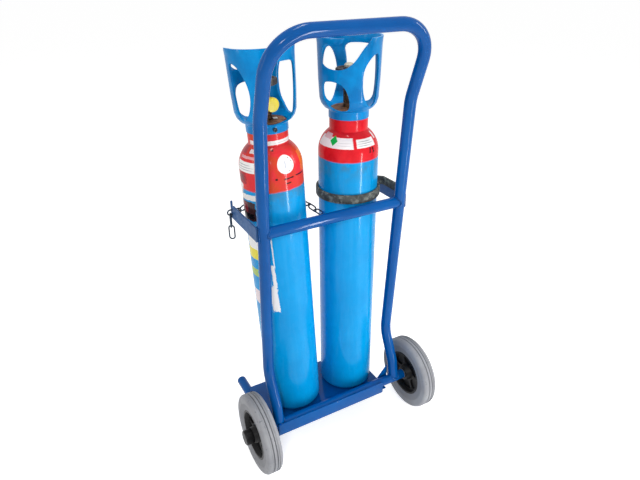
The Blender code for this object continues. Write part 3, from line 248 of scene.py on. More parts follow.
@dataclass(frozen=True)
class CylinderPaint(Finish):
    """Sprayed enamel on a gas cylinder: one colour below, another on the shoulder, and old labels."""

    shoulder: str = "#E3222D"
    shoulder_shade: str = "#C81824"
    overspray: str = "#3D7FA6"
    streak: str = "#5DBBEA"
    streak_share: float = 0.12
    boundary_mm: float = 662.0
    base: tuple[float, float, float] = (0.0, 0.0, 0.0)
    turn: tuple[float, float, float] = (0.0, 0.0, 0.0)
    marks: tuple[Mark, ...] = ()
    radius_mm: float = 70.0
    wander: float = 0.003
    edge_width: float = 0.0032
    mist_depth: float = 0.050

    def coords(self, tree: bpy.types.NodeTree) -> bpy.types.NodeSocket:
        """The cylinder's own frame: base at the origin, +X towards the camera, axis along Z.

        Args:
            tree: The material's tree.

        Returns:
            The socket of the place in that frame.
        """
        here = add_node(tree, "TexCoord").outputs["Object"]
        own = add_node(tree, "Mapping",
                       {"vector_type": "TEXTURE", "Location": self.base, "Rotation": self.turn},
                       {"Vector": here})
        return own.outputs[0]

    def paint(self, tree: bpy.types.NodeTree, coords: bpy.types.NodeSocket) -> bpy.types.NodeSocket:
        """Body and shoulder colours with a sprayed edge, rub marks, and the labels, smears and painted shade
        on top.

        Args:
            tree: The material's tree.
            coords: Where the patterns are read.

        Returns:
            The colour's socket.
        """
        split = add_node(tree, "SeparateXYZ", {}, {0: coords})
        wobble = add_node(tree, "TexNoise", {"Scale": 30.0, "Detail": 3.0}, {"Vector": coords})
        lift = add_node(tree, "MapRange", {3: -self.wander, 4: self.wander}, {0: wobble.outputs[0]})
        height = add_node(tree, "Math", {"operation": "ADD"}, {0: split.outputs[2], 1: lift.outputs[0]})
        edge = self.boundary_mm / 1000
        streaks = patches(tree, coords, 9.0, 0.48, 0.72, stretch=(1, 1, 9))
        body = add_node(tree, "Mix", {"data_type": "RGBA", 6: linear(self.colour), 7: linear(self.shade)},
                        {0: patches(tree, coords, self.drift_mm, *self.drift)})
        rubbed = add_node(tree, "Mix", {"data_type": "RGBA", 7: linear(self.streak)}, {6: body.outputs[2]})
        weak = add_node(tree, "Math", {"operation": "MULTIPLY", 1: self.streak_share}, {0: streaks})
        tree.links.new(weak.outputs[0], rubbed.inputs[0])
        near = add_node(tree, "MapRange", {1: edge - self.mist_depth, 2: edge - 0.002, 4: 0.8},
                        {0: height.outputs[0]})
        blotch = patches(tree, coords, 12.0, 0.42, 0.60)
        mist = add_node(tree, "Math", {"operation": "MULTIPLY"}, {0: near.outputs[0], 1: blotch})
        fogged = add_node(tree, "Mix", {"data_type": "RGBA", 7: linear(self.overspray)},
                          {0: mist.outputs[0], 6: rubbed.outputs[2]})
        top = add_node(tree, "Mix",
                       {"data_type": "RGBA", 6: linear(self.shoulder), 7: linear(self.shoulder_shade)},
                       {0: patches(tree, coords, 22.0, 0.45, 0.62, detail=5.0)})
        half = self.edge_width / 2
        above = add_node(tree, "MapRange", {1: edge - half, 2: edge + half}, {0: height.outputs[0]})
        both = add_node(tree, "Mix", {"data_type": "RGBA"},
                        {0: above.outputs[0], 6: fogged.outputs[2], 7: top.outputs[2]})
        spots = patches(tree, coords, self.wear_mm, *self.wear_level, detail=5.0, stretch=(1, 1, 2.5))
        result = add_node(tree, "Mix", {"data_type": "RGBA", 7: linear(self.wear)},
                          {0: spots, 6: both.outputs[2]}).outputs[2]
        angle = add_node(tree, "Math", {"operation": "ARCTAN2"}, {0: split.outputs[1], 1: split.outputs[0]})
        fray = add_node(tree, "TexNoise", {"Scale": 160.0, "Detail": 4.0}, {"Vector": coords})
        centred = add_node(tree, "Math", {"operation": "SUBTRACT", 1: 0.5}, {0: fray.outputs[0]})
        for mark in self.marks:
            result = self.stick(tree, mark, split.outputs[2], angle.outputs[0], centred.outputs[0], result)
        return result

    def stick(self, tree: bpy.types.NodeTree, mark: Mark, height: bpy.types.NodeSocket,
              angle: bpy.types.NodeSocket, fray: bpy.types.NodeSocket,
              under: bpy.types.NodeSocket) -> bpy.types.NodeSocket:
        """Lay one label, smear or patch of painted shade over the paint.

        Args:
            tree: The material's tree.
            mark: The mark's place, size and colour.
            height: Height along the cylinder.
            angle: Turn about the cylinder, in radians from the side that faces the camera.
            fray: Random values around zero that roughen the label's edge.
            under: The colour below.

        Returns:
            The colour with the label on it.
        """
        low, high = mark.heights_mm
        left, right = (math.radians(turn) for turn in mark.turns_deg)
        tall, wide = high - low, (right - left) * self.radius_mm
        middle = -(left + right) / 2 * self.radius_mm
        along = add_node(tree, "Math", {"operation": "MULTIPLY_ADD", 1: self.radius_mm, 2: middle},
                         {0: angle})
        up = add_node(tree, "Math", {"operation": "MULTIPLY_ADD", 1: 1000.0, 2: -(low + high) / 2},
                      {0: height})
        flat = add_node(tree, "CombineXYZ", {}, {0: along.outputs[0], 1: up.outputs[0]})
        tilted = add_node(tree, "Mapping", {"Rotation": (0, 0, math.radians(mark.tilt_deg))},
                          {"Vector": flat.outputs[0]})
        scaled = add_node(tree, "Mapping", {"Scale": (2 / wide, 2 / tall, 1)}, {"Vector": tilted.outputs[0]})
        if mark.shape is Shape.ROUND:
            reach = add_node(tree, "VectorMath", {"operation": "LENGTH"}, {0: scaled.outputs[0]}).outputs[1]
        else:
            sides = add_node(tree, "VectorMath", {"operation": "ABSOLUTE"}, {0: scaled.outputs[0]})
            parts = add_node(tree, "SeparateXYZ", {}, {0: sides.outputs[0]})
            joined = "MAXIMUM" if mark.shape is Shape.BOX else "ADD"
            reach = add_node(tree, "Math", {"operation": joined},
                             {0: parts.outputs[0], 1: parts.outputs[1]}).outputs[0]
        small = min(tall, wide)
        rough = add_node(tree, "Math", {"operation": "MULTIPLY_ADD", 1: 8 * mark.ragged_mm / small},
                         {0: fray, 2: reach})
        inside = add_node(tree, "MapRange", {1: 1 + 0.6 / small, 2: 1 - 0.6 / small}, {0: rough.outputs[0]})
        laid = add_node(tree, "Mix", {"data_type": "RGBA", 7: linear(mark.colour)},
                        {0: inside.outputs[0], 6: under})
        return laid.outputs[2]


@dataclass(frozen=True)
class TyreRubber(Finish):
    """Moulded rubber, darker beside the rim and in the tread's grooves."""

    sidewall: str = "#85868A"
    sidewall_mm: float = 79.0
    groove: str = "#6C6D72"
    wheel_x_mm: float = 228.7
    radius_mm: float = 100.0

    def paint(self, tree: bpy.types.NodeTree, coords: bpy.types.NodeSocket) -> bpy.types.NodeSocket:
        """The rubber's colour, darker in a ring beside the rim and in the tread's grooves.

        Args:
            tree: The material's tree.
            coords: Where the patterns are read.

        Returns:
            The colour's socket.
        """
        plain = super().paint(tree, coords)
        centred = add_node(tree, "Mapping", {"Location": (0, -AXLE.y, -AXLE.z)}, {"Vector": coords})
        flat = add_node(tree, "VectorMath", {"operation": "MULTIPLY", 1: (0, 1, 1)}, {0: centred.outputs[0]})
        radius = add_node(tree, "VectorMath", {"operation": "LENGTH"}, {0: flat.outputs[0]})
        edge = self.sidewall_mm / 1000
        inner = add_node(tree, "MapRange", {1: edge + 0.002, 2: edge - 0.002}, {0: radius.outputs[1]})
        walled = add_node(tree, "Mix", {"data_type": "RGBA", 7: linear(self.sidewall)},
                          {0: inner.outputs[0], 6: plain})
        split = add_node(tree, "SeparateXYZ", {}, {0: coords})
        out = add_node(tree, "Math", {"operation": "ABSOLUTE"}, {0: split.outputs[0]})
        across = add_node(tree, "Math", {"operation": "SUBTRACT", 1: self.wheel_x_mm / 1000},
                          {0: out.outputs[0]})
        squared = add_node(tree, "Math", {"operation": "MULTIPLY"},
                           {0: across.outputs[0], 1: across.outputs[0]})
        # The tread's top falls off as the square of the distance from its middle.
        full = self.radius_mm / 1000
        crown = add_node(tree, "Math", {"operation": "MULTIPLY_ADD", 1: -1 / (4 * full), 2: full},
                         {0: squared.outputs[0]})
        depth = add_node(tree, "Math", {"operation": "SUBTRACT"}, {0: crown.outputs[0], 1: radius.outputs[1]})
        # Darker in the grooves, the more so the deeper they sink below the crown, and only across the tread.
        sunk = add_node(tree, "MapRange", {1: 0.0009, 2: 0.0020, 4: 0.85}, {0: depth.outputs[0]})
        # Squares of the distances, about 15 mm, at which the tread ends and the shoulder begins.
        tread = add_node(tree, "MapRange", {1: 0.000235, 2: 0.000205}, {0: squared.outputs[0]})
        groove_darkening = add_node(tree, "Math", {"operation": "MULTIPLY"}, {0: sunk.outputs[0], 1: tread.outputs[0]})
        return add_node(tree, "Mix", {"data_type": "RGBA", 7: linear(self.groove)},
                        {0: groove_darkening.outputs[0], 6: walled.outputs[2]}).outputs[2]


# Stoved gloss enamel on steel tube: deep blue, wet highlights, slight orange peel and a few chips.
FRAME_ENAMEL = Finish(
    "stoved_blue_enamel", "#00569E", "#00488C", "#9DB6CF", (0.12, 0.22), drift_mm=90, grain_mm=2.2,
    grain_height_mm=0.05, wear_mm=2.2, wear_level=(0.755, 0.77), coat=0.25, sheen=0.03)
# The same enamel brushed thick over the welds: duller and uneven.
WELD_ENAMEL = Finish(
    "weld_blue_enamel", "#004D90", "#003A72", "#7F93A8", (0.22, 0.40), drift_mm=6, grain_mm=1.6,
    grain_height_mm=0.12, wear_mm=2.0, wear_level=(0.68, 0.73), coat=0.12, sheen=0.10)
# Enamel on flat bar, duller than the tube, with pale worn spots; its greyer, paler blue is a painted
# reflection.
ARM_ENAMEL = Finish(
    "rubbed_blue_enamel", "#3F6494", "#2F5080", "#9FB0C6", (0.42, 0.60), drift_mm=20, grain_mm=2.0,
    grain_height_mm=0.05, wear_mm=2.5, wear_level=(0.66, 0.72), sheen=0.15)
# Dusty moulded rubber: pale grey, matt, darker where it is rubbed.
GREY_RUBBER = TyreRubber(
    "grey_solid_rubber", "#9D9EA2", "#8A8B90", "#77787D", (0.62, 0.80), drift_mm=30, grain_mm=0.8,
    grain_height_mm=0.05, wear_mm=5, wear_level=(0.62, 0.72), ior=1.52, sheen=0.25)
# Moulded polypropylene: black, low sheen, fine grain and pale scuffs.
BLACK_PLASTIC = Finish(
    "moulded_black_polypropylene", "#08080A", "#101012", "#2A2B2F", (0.32, 0.52), drift_mm=18,
    grain_mm=0.9, grain_height_mm=0.03, wear_mm=2.5, wear_level=(0.70, 0.78), ior=1.49, sheen=0.2)
# Black moulded rubber of the feet: matt and dusty.
FOOT_RUBBER = Finish(
    "black_moulded_rubber", "#1A1A1B", "#262628", "#5B5955", (0.6, 0.8), drift_mm=9, grain_mm=1.0,
    grain_height_mm=0.05, wear_mm=2.5, wear_level=(0.62, 0.74), ior=1.52)
# Old rubber band: grey-brown with a green-grey bloom, chalky and cracked.
WORN_RUBBER = Finish(
    "weathered_grey_rubber", "#4C4F4C", "#303331", "#777B73", (0.70, 0.92), drift_mm=7,
    drift=(0.40, 0.60), grain_mm=1.2, grain_height_mm=0.25, wear_mm=6.0, wear_level=(0.50, 0.62))
# Bright zinc on turned steel: cool grey with a clouded sheen.
ZINC_STEEL = Finish(
    "zinc_plated_steel", "#B9BEC4", "#979CA3", "#6E6A62", (0.25, 0.42), metallic=1.0, drift_mm=8,
    grain_mm=0.6, grain_height_mm=0.01, wear_mm=2.0, wear_level=(0.66, 0.74))
# Dark oxidised steel wire: blue-black with dull grey rubs.
CHAIN_STEEL = Finish(
    "oxidised_chain_steel", "#3A4A5A", "#262E38", "#7C8288", (0.34, 0.55), metallic=0.7, drift_mm=7,
    grain_mm=0.7, grain_height_mm=0.03, wear_mm=2.0, wear_level=(0.58, 0.66))
# Blackened steel of the guard's screws: dark with a bright socket rim.
SCREW_STEEL = Finish(
    "blackened_screw_steel", "#20252B", "#14181D", "#9AA3AC", (0.30, 0.50), metallic=0.6, drift_mm=4,
    grain_mm=0.7, grain_height_mm=0.02, wear_mm=1.2, wear_level=(0.60, 0.66))
# Tarnished cast brass: brown with a green-grey bloom.
OLD_BRASS = Finish(
    "tarnished_brass", "#6B4A2C", "#3B2A1E", "#A88652", (0.38, 0.6), metallic=0.6, drift_mm=7,
    grain_mm=1.0, grain_height_mm=0.05, wear_mm=1.8, wear_level=(0.60, 0.68))
# Rust and old grease on the neck flange: brown, uneven and matt.
RUSTY_FLANGE = Finish(
    "rusty_steel_flange", "#8C5E3C", "#5C3A26", "#A5825C", (0.6, 0.85), drift_mm=7, drift=(0.40, 0.60),
    grain_mm=1.0, grain_height_mm=0.15, wear_mm=2.5, wear_level=(0.58, 0.68))
# Worn moulded nylon: dark brown-grey, dusty in the hollows.
WHEEL_NYLON = Finish(
    "worn_brown_nylon", "#453E3C", "#2B2626", "#7A6F68", (0.5, 0.72), drift_mm=9, grain_mm=1.0,
    grain_height_mm=0.05, wear_mm=2.0, wear_level=(0.60, 0.70))
# Moulded polythene: lemon yellow, waxy.
YELLOW_POLYTHENE = Finish(
    "yellow_polythene", "#F6E24A", "#E6CC2C", "#B98F1C", (0.35, 0.5), drift_mm=6, grain_mm=1.0,
    grain_height_mm=0.02, wear_mm=2.0, wear_level=(0.70, 0.78))
# Moulded nylon: cream, slightly dirty.
CREAM_NYLON = Finish(
    "cream_nylon", "#DDD3BC", "#BFB193", "#7C6C54", (0.4, 0.55), drift_mm=6, grain_mm=1.0,
    grain_height_mm=0.02, wear_mm=2.5, wear_level=(0.58, 0.70))
# Soft paper tag: off-white and grubby.
PAPER_TAG = Finish(
    "grubby_paper_tag", "#EFECE6", "#D8D3C8", "#9A9184", (0.6, 0.75), drift_mm=5, grain_mm=0.8,
    grain_height_mm=0.02, wear_mm=1.5, wear_level=(0.64, 0.72))
# Thick gloss paint on a moulded guard: bright blue, clouded, with darker rubbed patches and pale nicks.
GUARD_PAINT = Finish(
    "guard_gloss_blue", "#038CD0", "#0272B6", "#7DB9E6", (0.26, 0.42), drift_mm=24, drift=(0.38, 0.66),
    grain_mm=1.8, grain_height_mm=0.05, wear_mm=2.6, wear_level=(0.715, 0.76), coat=0.18, sheen=0.05)


# ---------------------------------------------------------------- making pieces


def revolve(profile: Sequence[tuple[float, float]], steps: int, closed: bool) -> bmesh.types.BMesh:
    """Spin a half section once about Z.

    Args:
        profile: (radius, height) points, down the outer side first.
        steps: How many steps a full turn has.
        closed: Whether the last point joins the first one.

    Returns:
        A new bmesh of the turned shape.
    """
    bm = bmesh.new()
    points = [bm.verts.new((radius, 0, height)) for radius, height in profile]
    edges = [bm.edges.new(pair) for pair in zip(points, points[1:])]
    if closed:
        edges.append(bm.edges.new((points[-1], points[0])))
    bmesh.ops.spin(bm, geom=points + edges, cent=(0, 0, 0), axis=(0, 0, 1), angle=math.tau, steps=steps,
                   use_merge=True, use_normal_flip=False, use_duplicate=False)
    bmesh.ops.remove_doubles(bm, verts=bm.verts, dist=1e-6)
    bmesh.ops.recalc_face_normals(bm, faces=bm.faces)
    return bm


def rounded(points: Sequence[tuple[float, float]], radius: float,
            count: int = 4) -> list[tuple[float, float]]:
    """Round every inner corner of an open section line.

    Args:
        points: The corners in order.
        radius: The largest corner radius; it shrinks where a side is short.
        count: Points on each rounded corner.

    Returns:
        The line with its corners rounded.
    """
    line = [points[0]]
    for before, corner, after in zip(points, points[1:], points[2:]):
        here = Vector(corner)
        back, ahead = Vector(before) - here, Vector(after) - here
        half = back.angle(ahead) / 2 if back.length and ahead.length else math.pi / 2
        if half > math.radians(88):
            line.append(corner)
            continue
        reach = min(radius / math.tan(half), back.length * 0.45, ahead.length * 0.45)
        start, end = here + back.normalized() * reach, here + ahead.normalized() * reach
        for step in range(count + 1):
            share = step / count
            point = start * (1 - share) ** 2 + here * 2 * share * (1 - share) + end * share ** 2
            line.append((point.x, point.y))
    line.append(points[-1])
    return line


def make_piece(name: str, bm: bmesh.types.BMesh, place: Matrix, finish: Finish, body: str,
               replaces: Iterable[str] = (), sharp_deg: float = 35.0) -> bpy.types.Object:
    """Turn a bmesh into a finished piece with its place in its mesh.

    Args:
        name: The piece's name.
        bm: Its shape, which is freed.
        place: Where the shape goes.
        finish: Its finish.
        body: The moving body that it rides on.
        replaces: CAD nodes that it stands for.
        sharp_deg: Edges past this angle stay sharp.

    Returns:
        The new object.
    """
    bmesh.ops.transform(bm, matrix=place, verts=bm.verts)
    mesh = bpy.data.meshes.new(name)
    bm.to_mesh(mesh)
    bm.free()
    return settle(name, mesh, finish, body, replaces, sharp_deg)


def settle(name: str, mesh: bpy.types.Mesh, finish: Finish, body: str, replaces: Iterable[str] = (),
           sharp_deg: float = 35.0) -> bpy.types.Object:
    """Link a mesh as a piece, shade it, and fix it to its body.

    Args:
        name: The piece's name.
        mesh: Its mesh, already in place.
        finish: Its finish.
        body: The moving body that it rides on.
        replaces: CAD nodes that it stands for.
        sharp_deg: Edges past this angle stay sharp.

    Returns:
        The new object.
    """
    mesh.shade_smooth()
    mesh.set_sharp_from_angle(angle=math.radians(sharp_deg))
    piece = bpy.data.objects.new(name, mesh)
    bpy.context.scene.collection.objects.link(piece)
    mesh.materials.clear()
    mesh.materials.append(finish.material())
    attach(piece, body)
    nodes = list(replaces)
    if nodes:
        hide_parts(*nodes)
    LOG.info("%s rides on %s, %d faces", name, body, len(mesh.polygons))
    return piece


def dress(finish: Finish, *nodes: str) -> None:
    """Give CAD nodes a finish in place of their plain material.

    Args:
        finish: The finish.
        *nodes: The names of the nodes.
    """
    for node in nodes:
        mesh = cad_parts[node].data
        mesh.materials.clear()
        mesh.materials.append(finish.material())
        LOG.info("%s keeps its CAD shape with %s", node, finish.name)


def tube(points: Sequence[Vector], radius: float, cyclic: bool = False, detail: int = 6) -> bmesh.types.BMesh:
    """A round tube or wire along points, as a closed bmesh.

    Args:
        points: The points of its middle line.
        radius: The tube's radius.
        cyclic: Whether the last point joins the first one.
        detail: Steps on each quarter of the section.

    Returns:
        A new bmesh of the tube.
    """
    curve = bpy.data.curves.new("tube", "CURVE")
    curve.dimensions = "3D"
    curve.bevel_depth = radius
    curve.bevel_resolution = detail
    curve.use_fill_caps = not cyclic
    spline = curve.splines.new("POLY")
    spline.points.add(len(points) - 1)
    for target, point in zip(spline.points, points):
        target.co = (*point, 1.0)
    spline.use_cyclic_u = cyclic
    holder = bpy.data.objects.new("tube", curve)
    bpy.context.scene.collection.objects.link(holder)
    bpy.context.view_layer.update()
    mesh = bpy.data.meshes.new_from_object(holder.evaluated_get(bpy.context.evaluated_depsgraph_get()))
    bpy.data.objects.remove(holder)
    bpy.data.curves.remove(curve)
    bm = bmesh.new()
    bm.from_mesh(mesh)
    bpy.data.meshes.remove(mesh)
    bmesh.ops.remove_doubles(bm, verts=bm.verts, dist=1e-5)
    bmesh.ops.recalc_face_normals(bm, faces=bm.faces)
    return bm


def plate(outline: Sequence[tuple[float, float]], low: float, high: float) -> bmesh.types.BMesh:
    """A flat outline in XY, extruded along Z from `low` to `high`.

    Args:
        outline: The corners in order.
        low: The lower face's height.
        high: The upper face's height.

    Returns:
        A new bmesh of the plate.
    """
    bm = bmesh.new()
    corners = [bm.verts.new((x, y, low)) for x, y in outline]
    face = bm.faces.new(corners)
    raised = bmesh.ops.extrude_face_region(bm, geom=[face])
    verts = [item for item in raised["geom"] if isinstance(item, bmesh.types.BMVert)]
    bmesh.ops.translate(bm, vec=(0, 0, high - low), verts=verts)
    bmesh.ops.recalc_face_normals(bm, faces=bm.faces)
    return bm


def cut(bm: bmesh.types.BMesh, tools: Sequence[bmesh.types.BMesh], bevel: float) -> bpy.types.Mesh:
    """Cut several tools from a shape and round the new edges.

    Args:
        bm: The shape, which is freed.
        tools: The shapes to cut away, which are freed.
        bevel: The radius of the rounded edges.

    Returns:
        The cut mesh.
    """
    objects = []
    for index, shape in enumerate([bm, *tools]):
        mesh = bpy.data.meshes.new(f"shape_{index}")
        shape.to_mesh(mesh)
        shape.free()
        objects.append(bpy.data.objects.new(f"shape_{index}", mesh))
        bpy.context.scene.collection.objects.link(objects[-1])
    target = objects[0]
    for tool in objects[1:]:
        step = target.modifiers.new(tool.name, "BOOLEAN")
        step.solver, step.operation, step.object = "EXACT", "DIFFERENCE", tool
    if bevel:
        edge = target.modifiers.new("edge", "BEVEL")
        edge.width, edge.segments, edge.limit_method = bevel, 2, "ANGLE"
        edge.angle_limit, edge.harden_normals = math.radians(45), False
    bpy.context.view_layer.update()
    result = bpy.data.meshes.new_from_object(target.evaluated_get(bpy.context.evaluated_depsgraph_get()))
    for item in objects:
        old = item.data
        bpy.data.objects.remove(item)
        bpy.data.meshes.remove(old)
    return result


def corner_cut(outline: Sequence[tuple[float, float]]) -> list[tuple[float, float]]:
    """A closed outline with each corner cut once at a quarter of its sides.

    Args:
        outline: The corners in order.

    Returns:
        The new outline, with twice as many corners.
    """
    points = []
    for (x, y), (next_x, next_y) in zip(outline, [*outline[1:], outline[0]]):
        points.append((x * 0.75 + next_x * 0.25, y * 0.75 + next_y * 0.25))
        points.append((x * 0.25 + next_x * 0.75, y * 0.25 + next_y * 0.75))
    return points


def arc(centre: tuple[float, float], radius: float, first_deg: float, last_deg: float,
        steps: int) -> list[tuple[float, float]]:
    """Points on a part of a circle.

    Args:
        centre: The circle's centre.
        radius: Its radius.
        first_deg: The turn of the first point.
        last_deg: The turn of the last point.
        steps: How many steps lie between them.

    Returns:
        The points in order.
    """
    turns = [math.radians(first_deg + (last_deg - first_deg) * step / steps) for step in range(steps + 1)]
    return [(centre[0] + radius * math.cos(turn), centre[1] + radius * math.sin(turn)) for turn in turns]


def lobed(radius: float, depth: float, hollows: int, steps: int) -> list[tuple[float, float]]:
    """A round outline with evenly spaced hollows.

    Args:
        radius: The outline's greatest radius.
        depth: How deep the hollows are.
        hollows: How many of them there are.
        steps: How many corners the outline has.

    Returns:
        The outline's corners.
    """
    line = []
    for index in range(steps):
        turn = math.tau * index / steps
        reach = radius - depth * (1 + math.cos(hollows * turn)) / 2
        line.append((reach * math.cos(turn), reach * math.sin(turn)))
    return line


def rod(radius: float, low: float, high: float, steps: int) -> bmesh.types.BMesh:
    """A round bar along Z."""
    return revolve([(0.0, high), (radius, high), (radius, low), (0.0, low)], steps, False)


def prism(sides: int, radius: float, low: float, high: float, bevel: float = 0.0) -> bmesh.types.BMesh:
    """A bar along Z with flat sides; `radius` reaches its corners before they are rounded.

    Args:
        sides: How many sides it has.
        radius: From its middle to a corner.
        low: The lower end's height.
        high: The upper end's height.
        bevel: How far its edges are rounded.

    Returns:
        A new bmesh of the bar.
    """
    turns = [math.tau * index / sides for index in range(sides)]
    bm = plate([(radius * math.cos(turn), radius * math.sin(turn)) for turn in turns], low, high)
    if bevel:
        bmesh.ops.bevel(bm, geom=bm.edges, offset=bevel, offset_type="OFFSET", segments=2, profile=0.5,
                        affect="EDGES", material=-1)
    return bm


def merged(shapes: Sequence[bmesh.types.BMesh]) -> bmesh.types.BMesh:
    """Several shapes as one bmesh; the shapes are freed.

    Args:
        shapes: The shapes to join.

    Returns:
        A new bmesh of them all.
    """
    whole = bmesh.new()
    for shape in shapes:
        mesh = bpy.data.meshes.new("shape")
        shape.to_mesh(mesh)
        shape.free()
        whole.from_mesh(mesh)
        bpy.data.meshes.remove(mesh)
    return whole


def soften(name: str, node: str, finish: Finish, body: str, width: float) -> bpy.types.Object:
    """A copy of a CAD node with its sharp edges rounded to `width`.

    Args:
        name: The piece's name.
        node: The CAD node that it copies and stands for.
        finish: Its finish.
        body: The moving body that it rides on.
        width: The radius of the rounded edges.

    Returns:
        The new object.
    """
    bm = bmesh.new()
    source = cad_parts[node]
    bm.from_mesh(source.data)
    bmesh.ops.transform(bm, matrix=source.matrix_world, verts=bm.verts)
    bmesh.ops.remove_doubles(bm, verts=bm.verts, dist=1e-6)
    bmesh.ops.dissolve_limit(bm, angle_limit=math.radians(1), verts=bm.verts, edges=bm.edges)
    return settle(name, cut(bm, [], width), finish, body, [node])


def facing(place: Sequence[float], along: str) -> Matrix:
    """A matrix that moves to `place`, with local Z turned to face X, -X, Y or Z.

    Args:
        place: Where the origin goes.
        along: The direction as a word.

    Returns:
        The matrix.
    """
    turns = {
        "Z": Matrix.Identity(4),
        "X": Matrix.Rotation(math.pi / 2, 4, "Y"),
        "-X": Matrix.Rotation(-math.pi / 2, 4, "Y"),
        "Y": Matrix.Rotation(-math.pi / 2, 4, "X"),
    }
    return Matrix.Translation(place) @ turns[along]


def spin(degrees: float) -> Matrix:
    """A turn about Z."""
    return Matrix.Rotation(math.radians(degrees), 4, "Z")


def bent(corners: Sequence[Vector], radii: Sequence[float], count: int) -> list[Vector]:
    """Straight runs through `corners`, each inner corner rounded to its radius.

    Args:
        corners: The corners in order.
        radii: One bend radius for each inner corner.
        count: Steps on each bend.

    Returns:
        The points of the rounded line.
    """
    line = [corners[0]]
    for before, corner, after, radius in zip(corners, corners[1:], corners[2:], radii):
        back, ahead = (before - corner).normalized(), (after - corner).normalized()
        half = back.angle(ahead) / 2
        centre = corner + (back + ahead).normalized() * radius / math.sin(half)
        start = (corner + back * radius / math.tan(half) - centre).normalized()
        end = (corner + ahead * radius / math.tan(half) - centre).normalized()
        line += [centre + start.slerp(end, step / count) * radius for step in range(count + 1)]
    return [*line, corners[-1]]


def saddle(centre: Vector, along: Vector, bar: Vector, tube_r: float, bar_r: float) -> list[Vector]:
    """The closed line where a tube that runs out along `along` meets a round bar along `bar`.

    Args:
        centre: Where the two middle lines meet.
        along: The tube's direction.
        bar: The bar's direction.
        tube_r: The tube's radius.
        bar_r: The bar's radius.

    Returns:
        The points of the line.
    """
    across = along.cross(bar).normalized()
    points = []
    for step in range(40):
        turn = math.tau * step / 40
        offset = bar * tube_r * math.cos(turn) + across * tube_r * math.sin(turn)
        sideways = min(abs(offset.dot(across)), bar_r * 0.97)
        points.append(centre + offset + along * math.sqrt(bar_r ** 2 - sideways ** 2))
    return points


def touch(centre: Vector, radius: float, point: Vector, side: int) -> float:
    """The angle at which a line from `point` touches a circle, on the side given by +1 or -1."""
    offset = point - centre
    return math.atan2(offset.y, offset.x) + side * math.acos(radius / offset.length)


def walk(route: Sequence[Vector], distance: float) -> Vector:
    """The point at a distance along a route.

    Args:
        route: The route's corners.
        distance: How far along it.

    Returns:
        The point.
    """
    for start, end in zip(route, route[1:]):
        length = (end - start).length
        if distance <= length:
            return start + (end - start) * distance / length
        distance -= length
    return route[-1]


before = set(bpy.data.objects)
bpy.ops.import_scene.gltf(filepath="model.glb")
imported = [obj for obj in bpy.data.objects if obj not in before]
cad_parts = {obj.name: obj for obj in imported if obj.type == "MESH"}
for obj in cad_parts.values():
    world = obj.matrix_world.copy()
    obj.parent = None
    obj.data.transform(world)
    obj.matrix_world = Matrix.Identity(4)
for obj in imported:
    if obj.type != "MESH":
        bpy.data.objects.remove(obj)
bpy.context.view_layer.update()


# ---------------------------------------------------------------- studio


@dataclass(frozen=True)
class Lamp:
    """A soft rectangular lamp that points at the middle of the trolley; its power is in watts."""

    name: str
    place: tuple[float, float, float]
    size: tuple[float, float]
    power: float
    aim: tuple[float, float, float] = (0.0, 0.0, 0.55)

    def build(self) -> None:
        """Put the lamp in the scene."""
        data = bpy.data.lights.new(self.name, "AREA")
        data.shape, data.energy = "RECTANGLE", self.power
        data.size, data.size_y = self.size
        lamp = bpy.data.objects.new(self.name, data)
        lamp.location = self.place
        lamp.rotation_mode = "QUATERNION"
        lamp.rotation_quaternion = (Vector(self.aim) - Vector(self.place)).to_track_quat("-Z", "Y")
        bpy.context.scene.collection.objects.link(lamp)


LAMPS = (
    Lamp("key_lamp", (-1.2, -1.9, 1.9), (0.35, 0.45), 20),
    Lamp("strip_lamp", (0.52, -1.25, 0.30), (0.10, 0.9), 11),
    Lamp("side_lamp", (2.2, -0.8, 1.3), (0.30, 1.2), 14),
    Lamp("left_lamp", (-2.2, 0.2, 1.2), (0.30, 1.2), 7),
    Lamp("top_lamp", (0.05, -0.05, 2.6), (0.9, 0.25), 17),
)


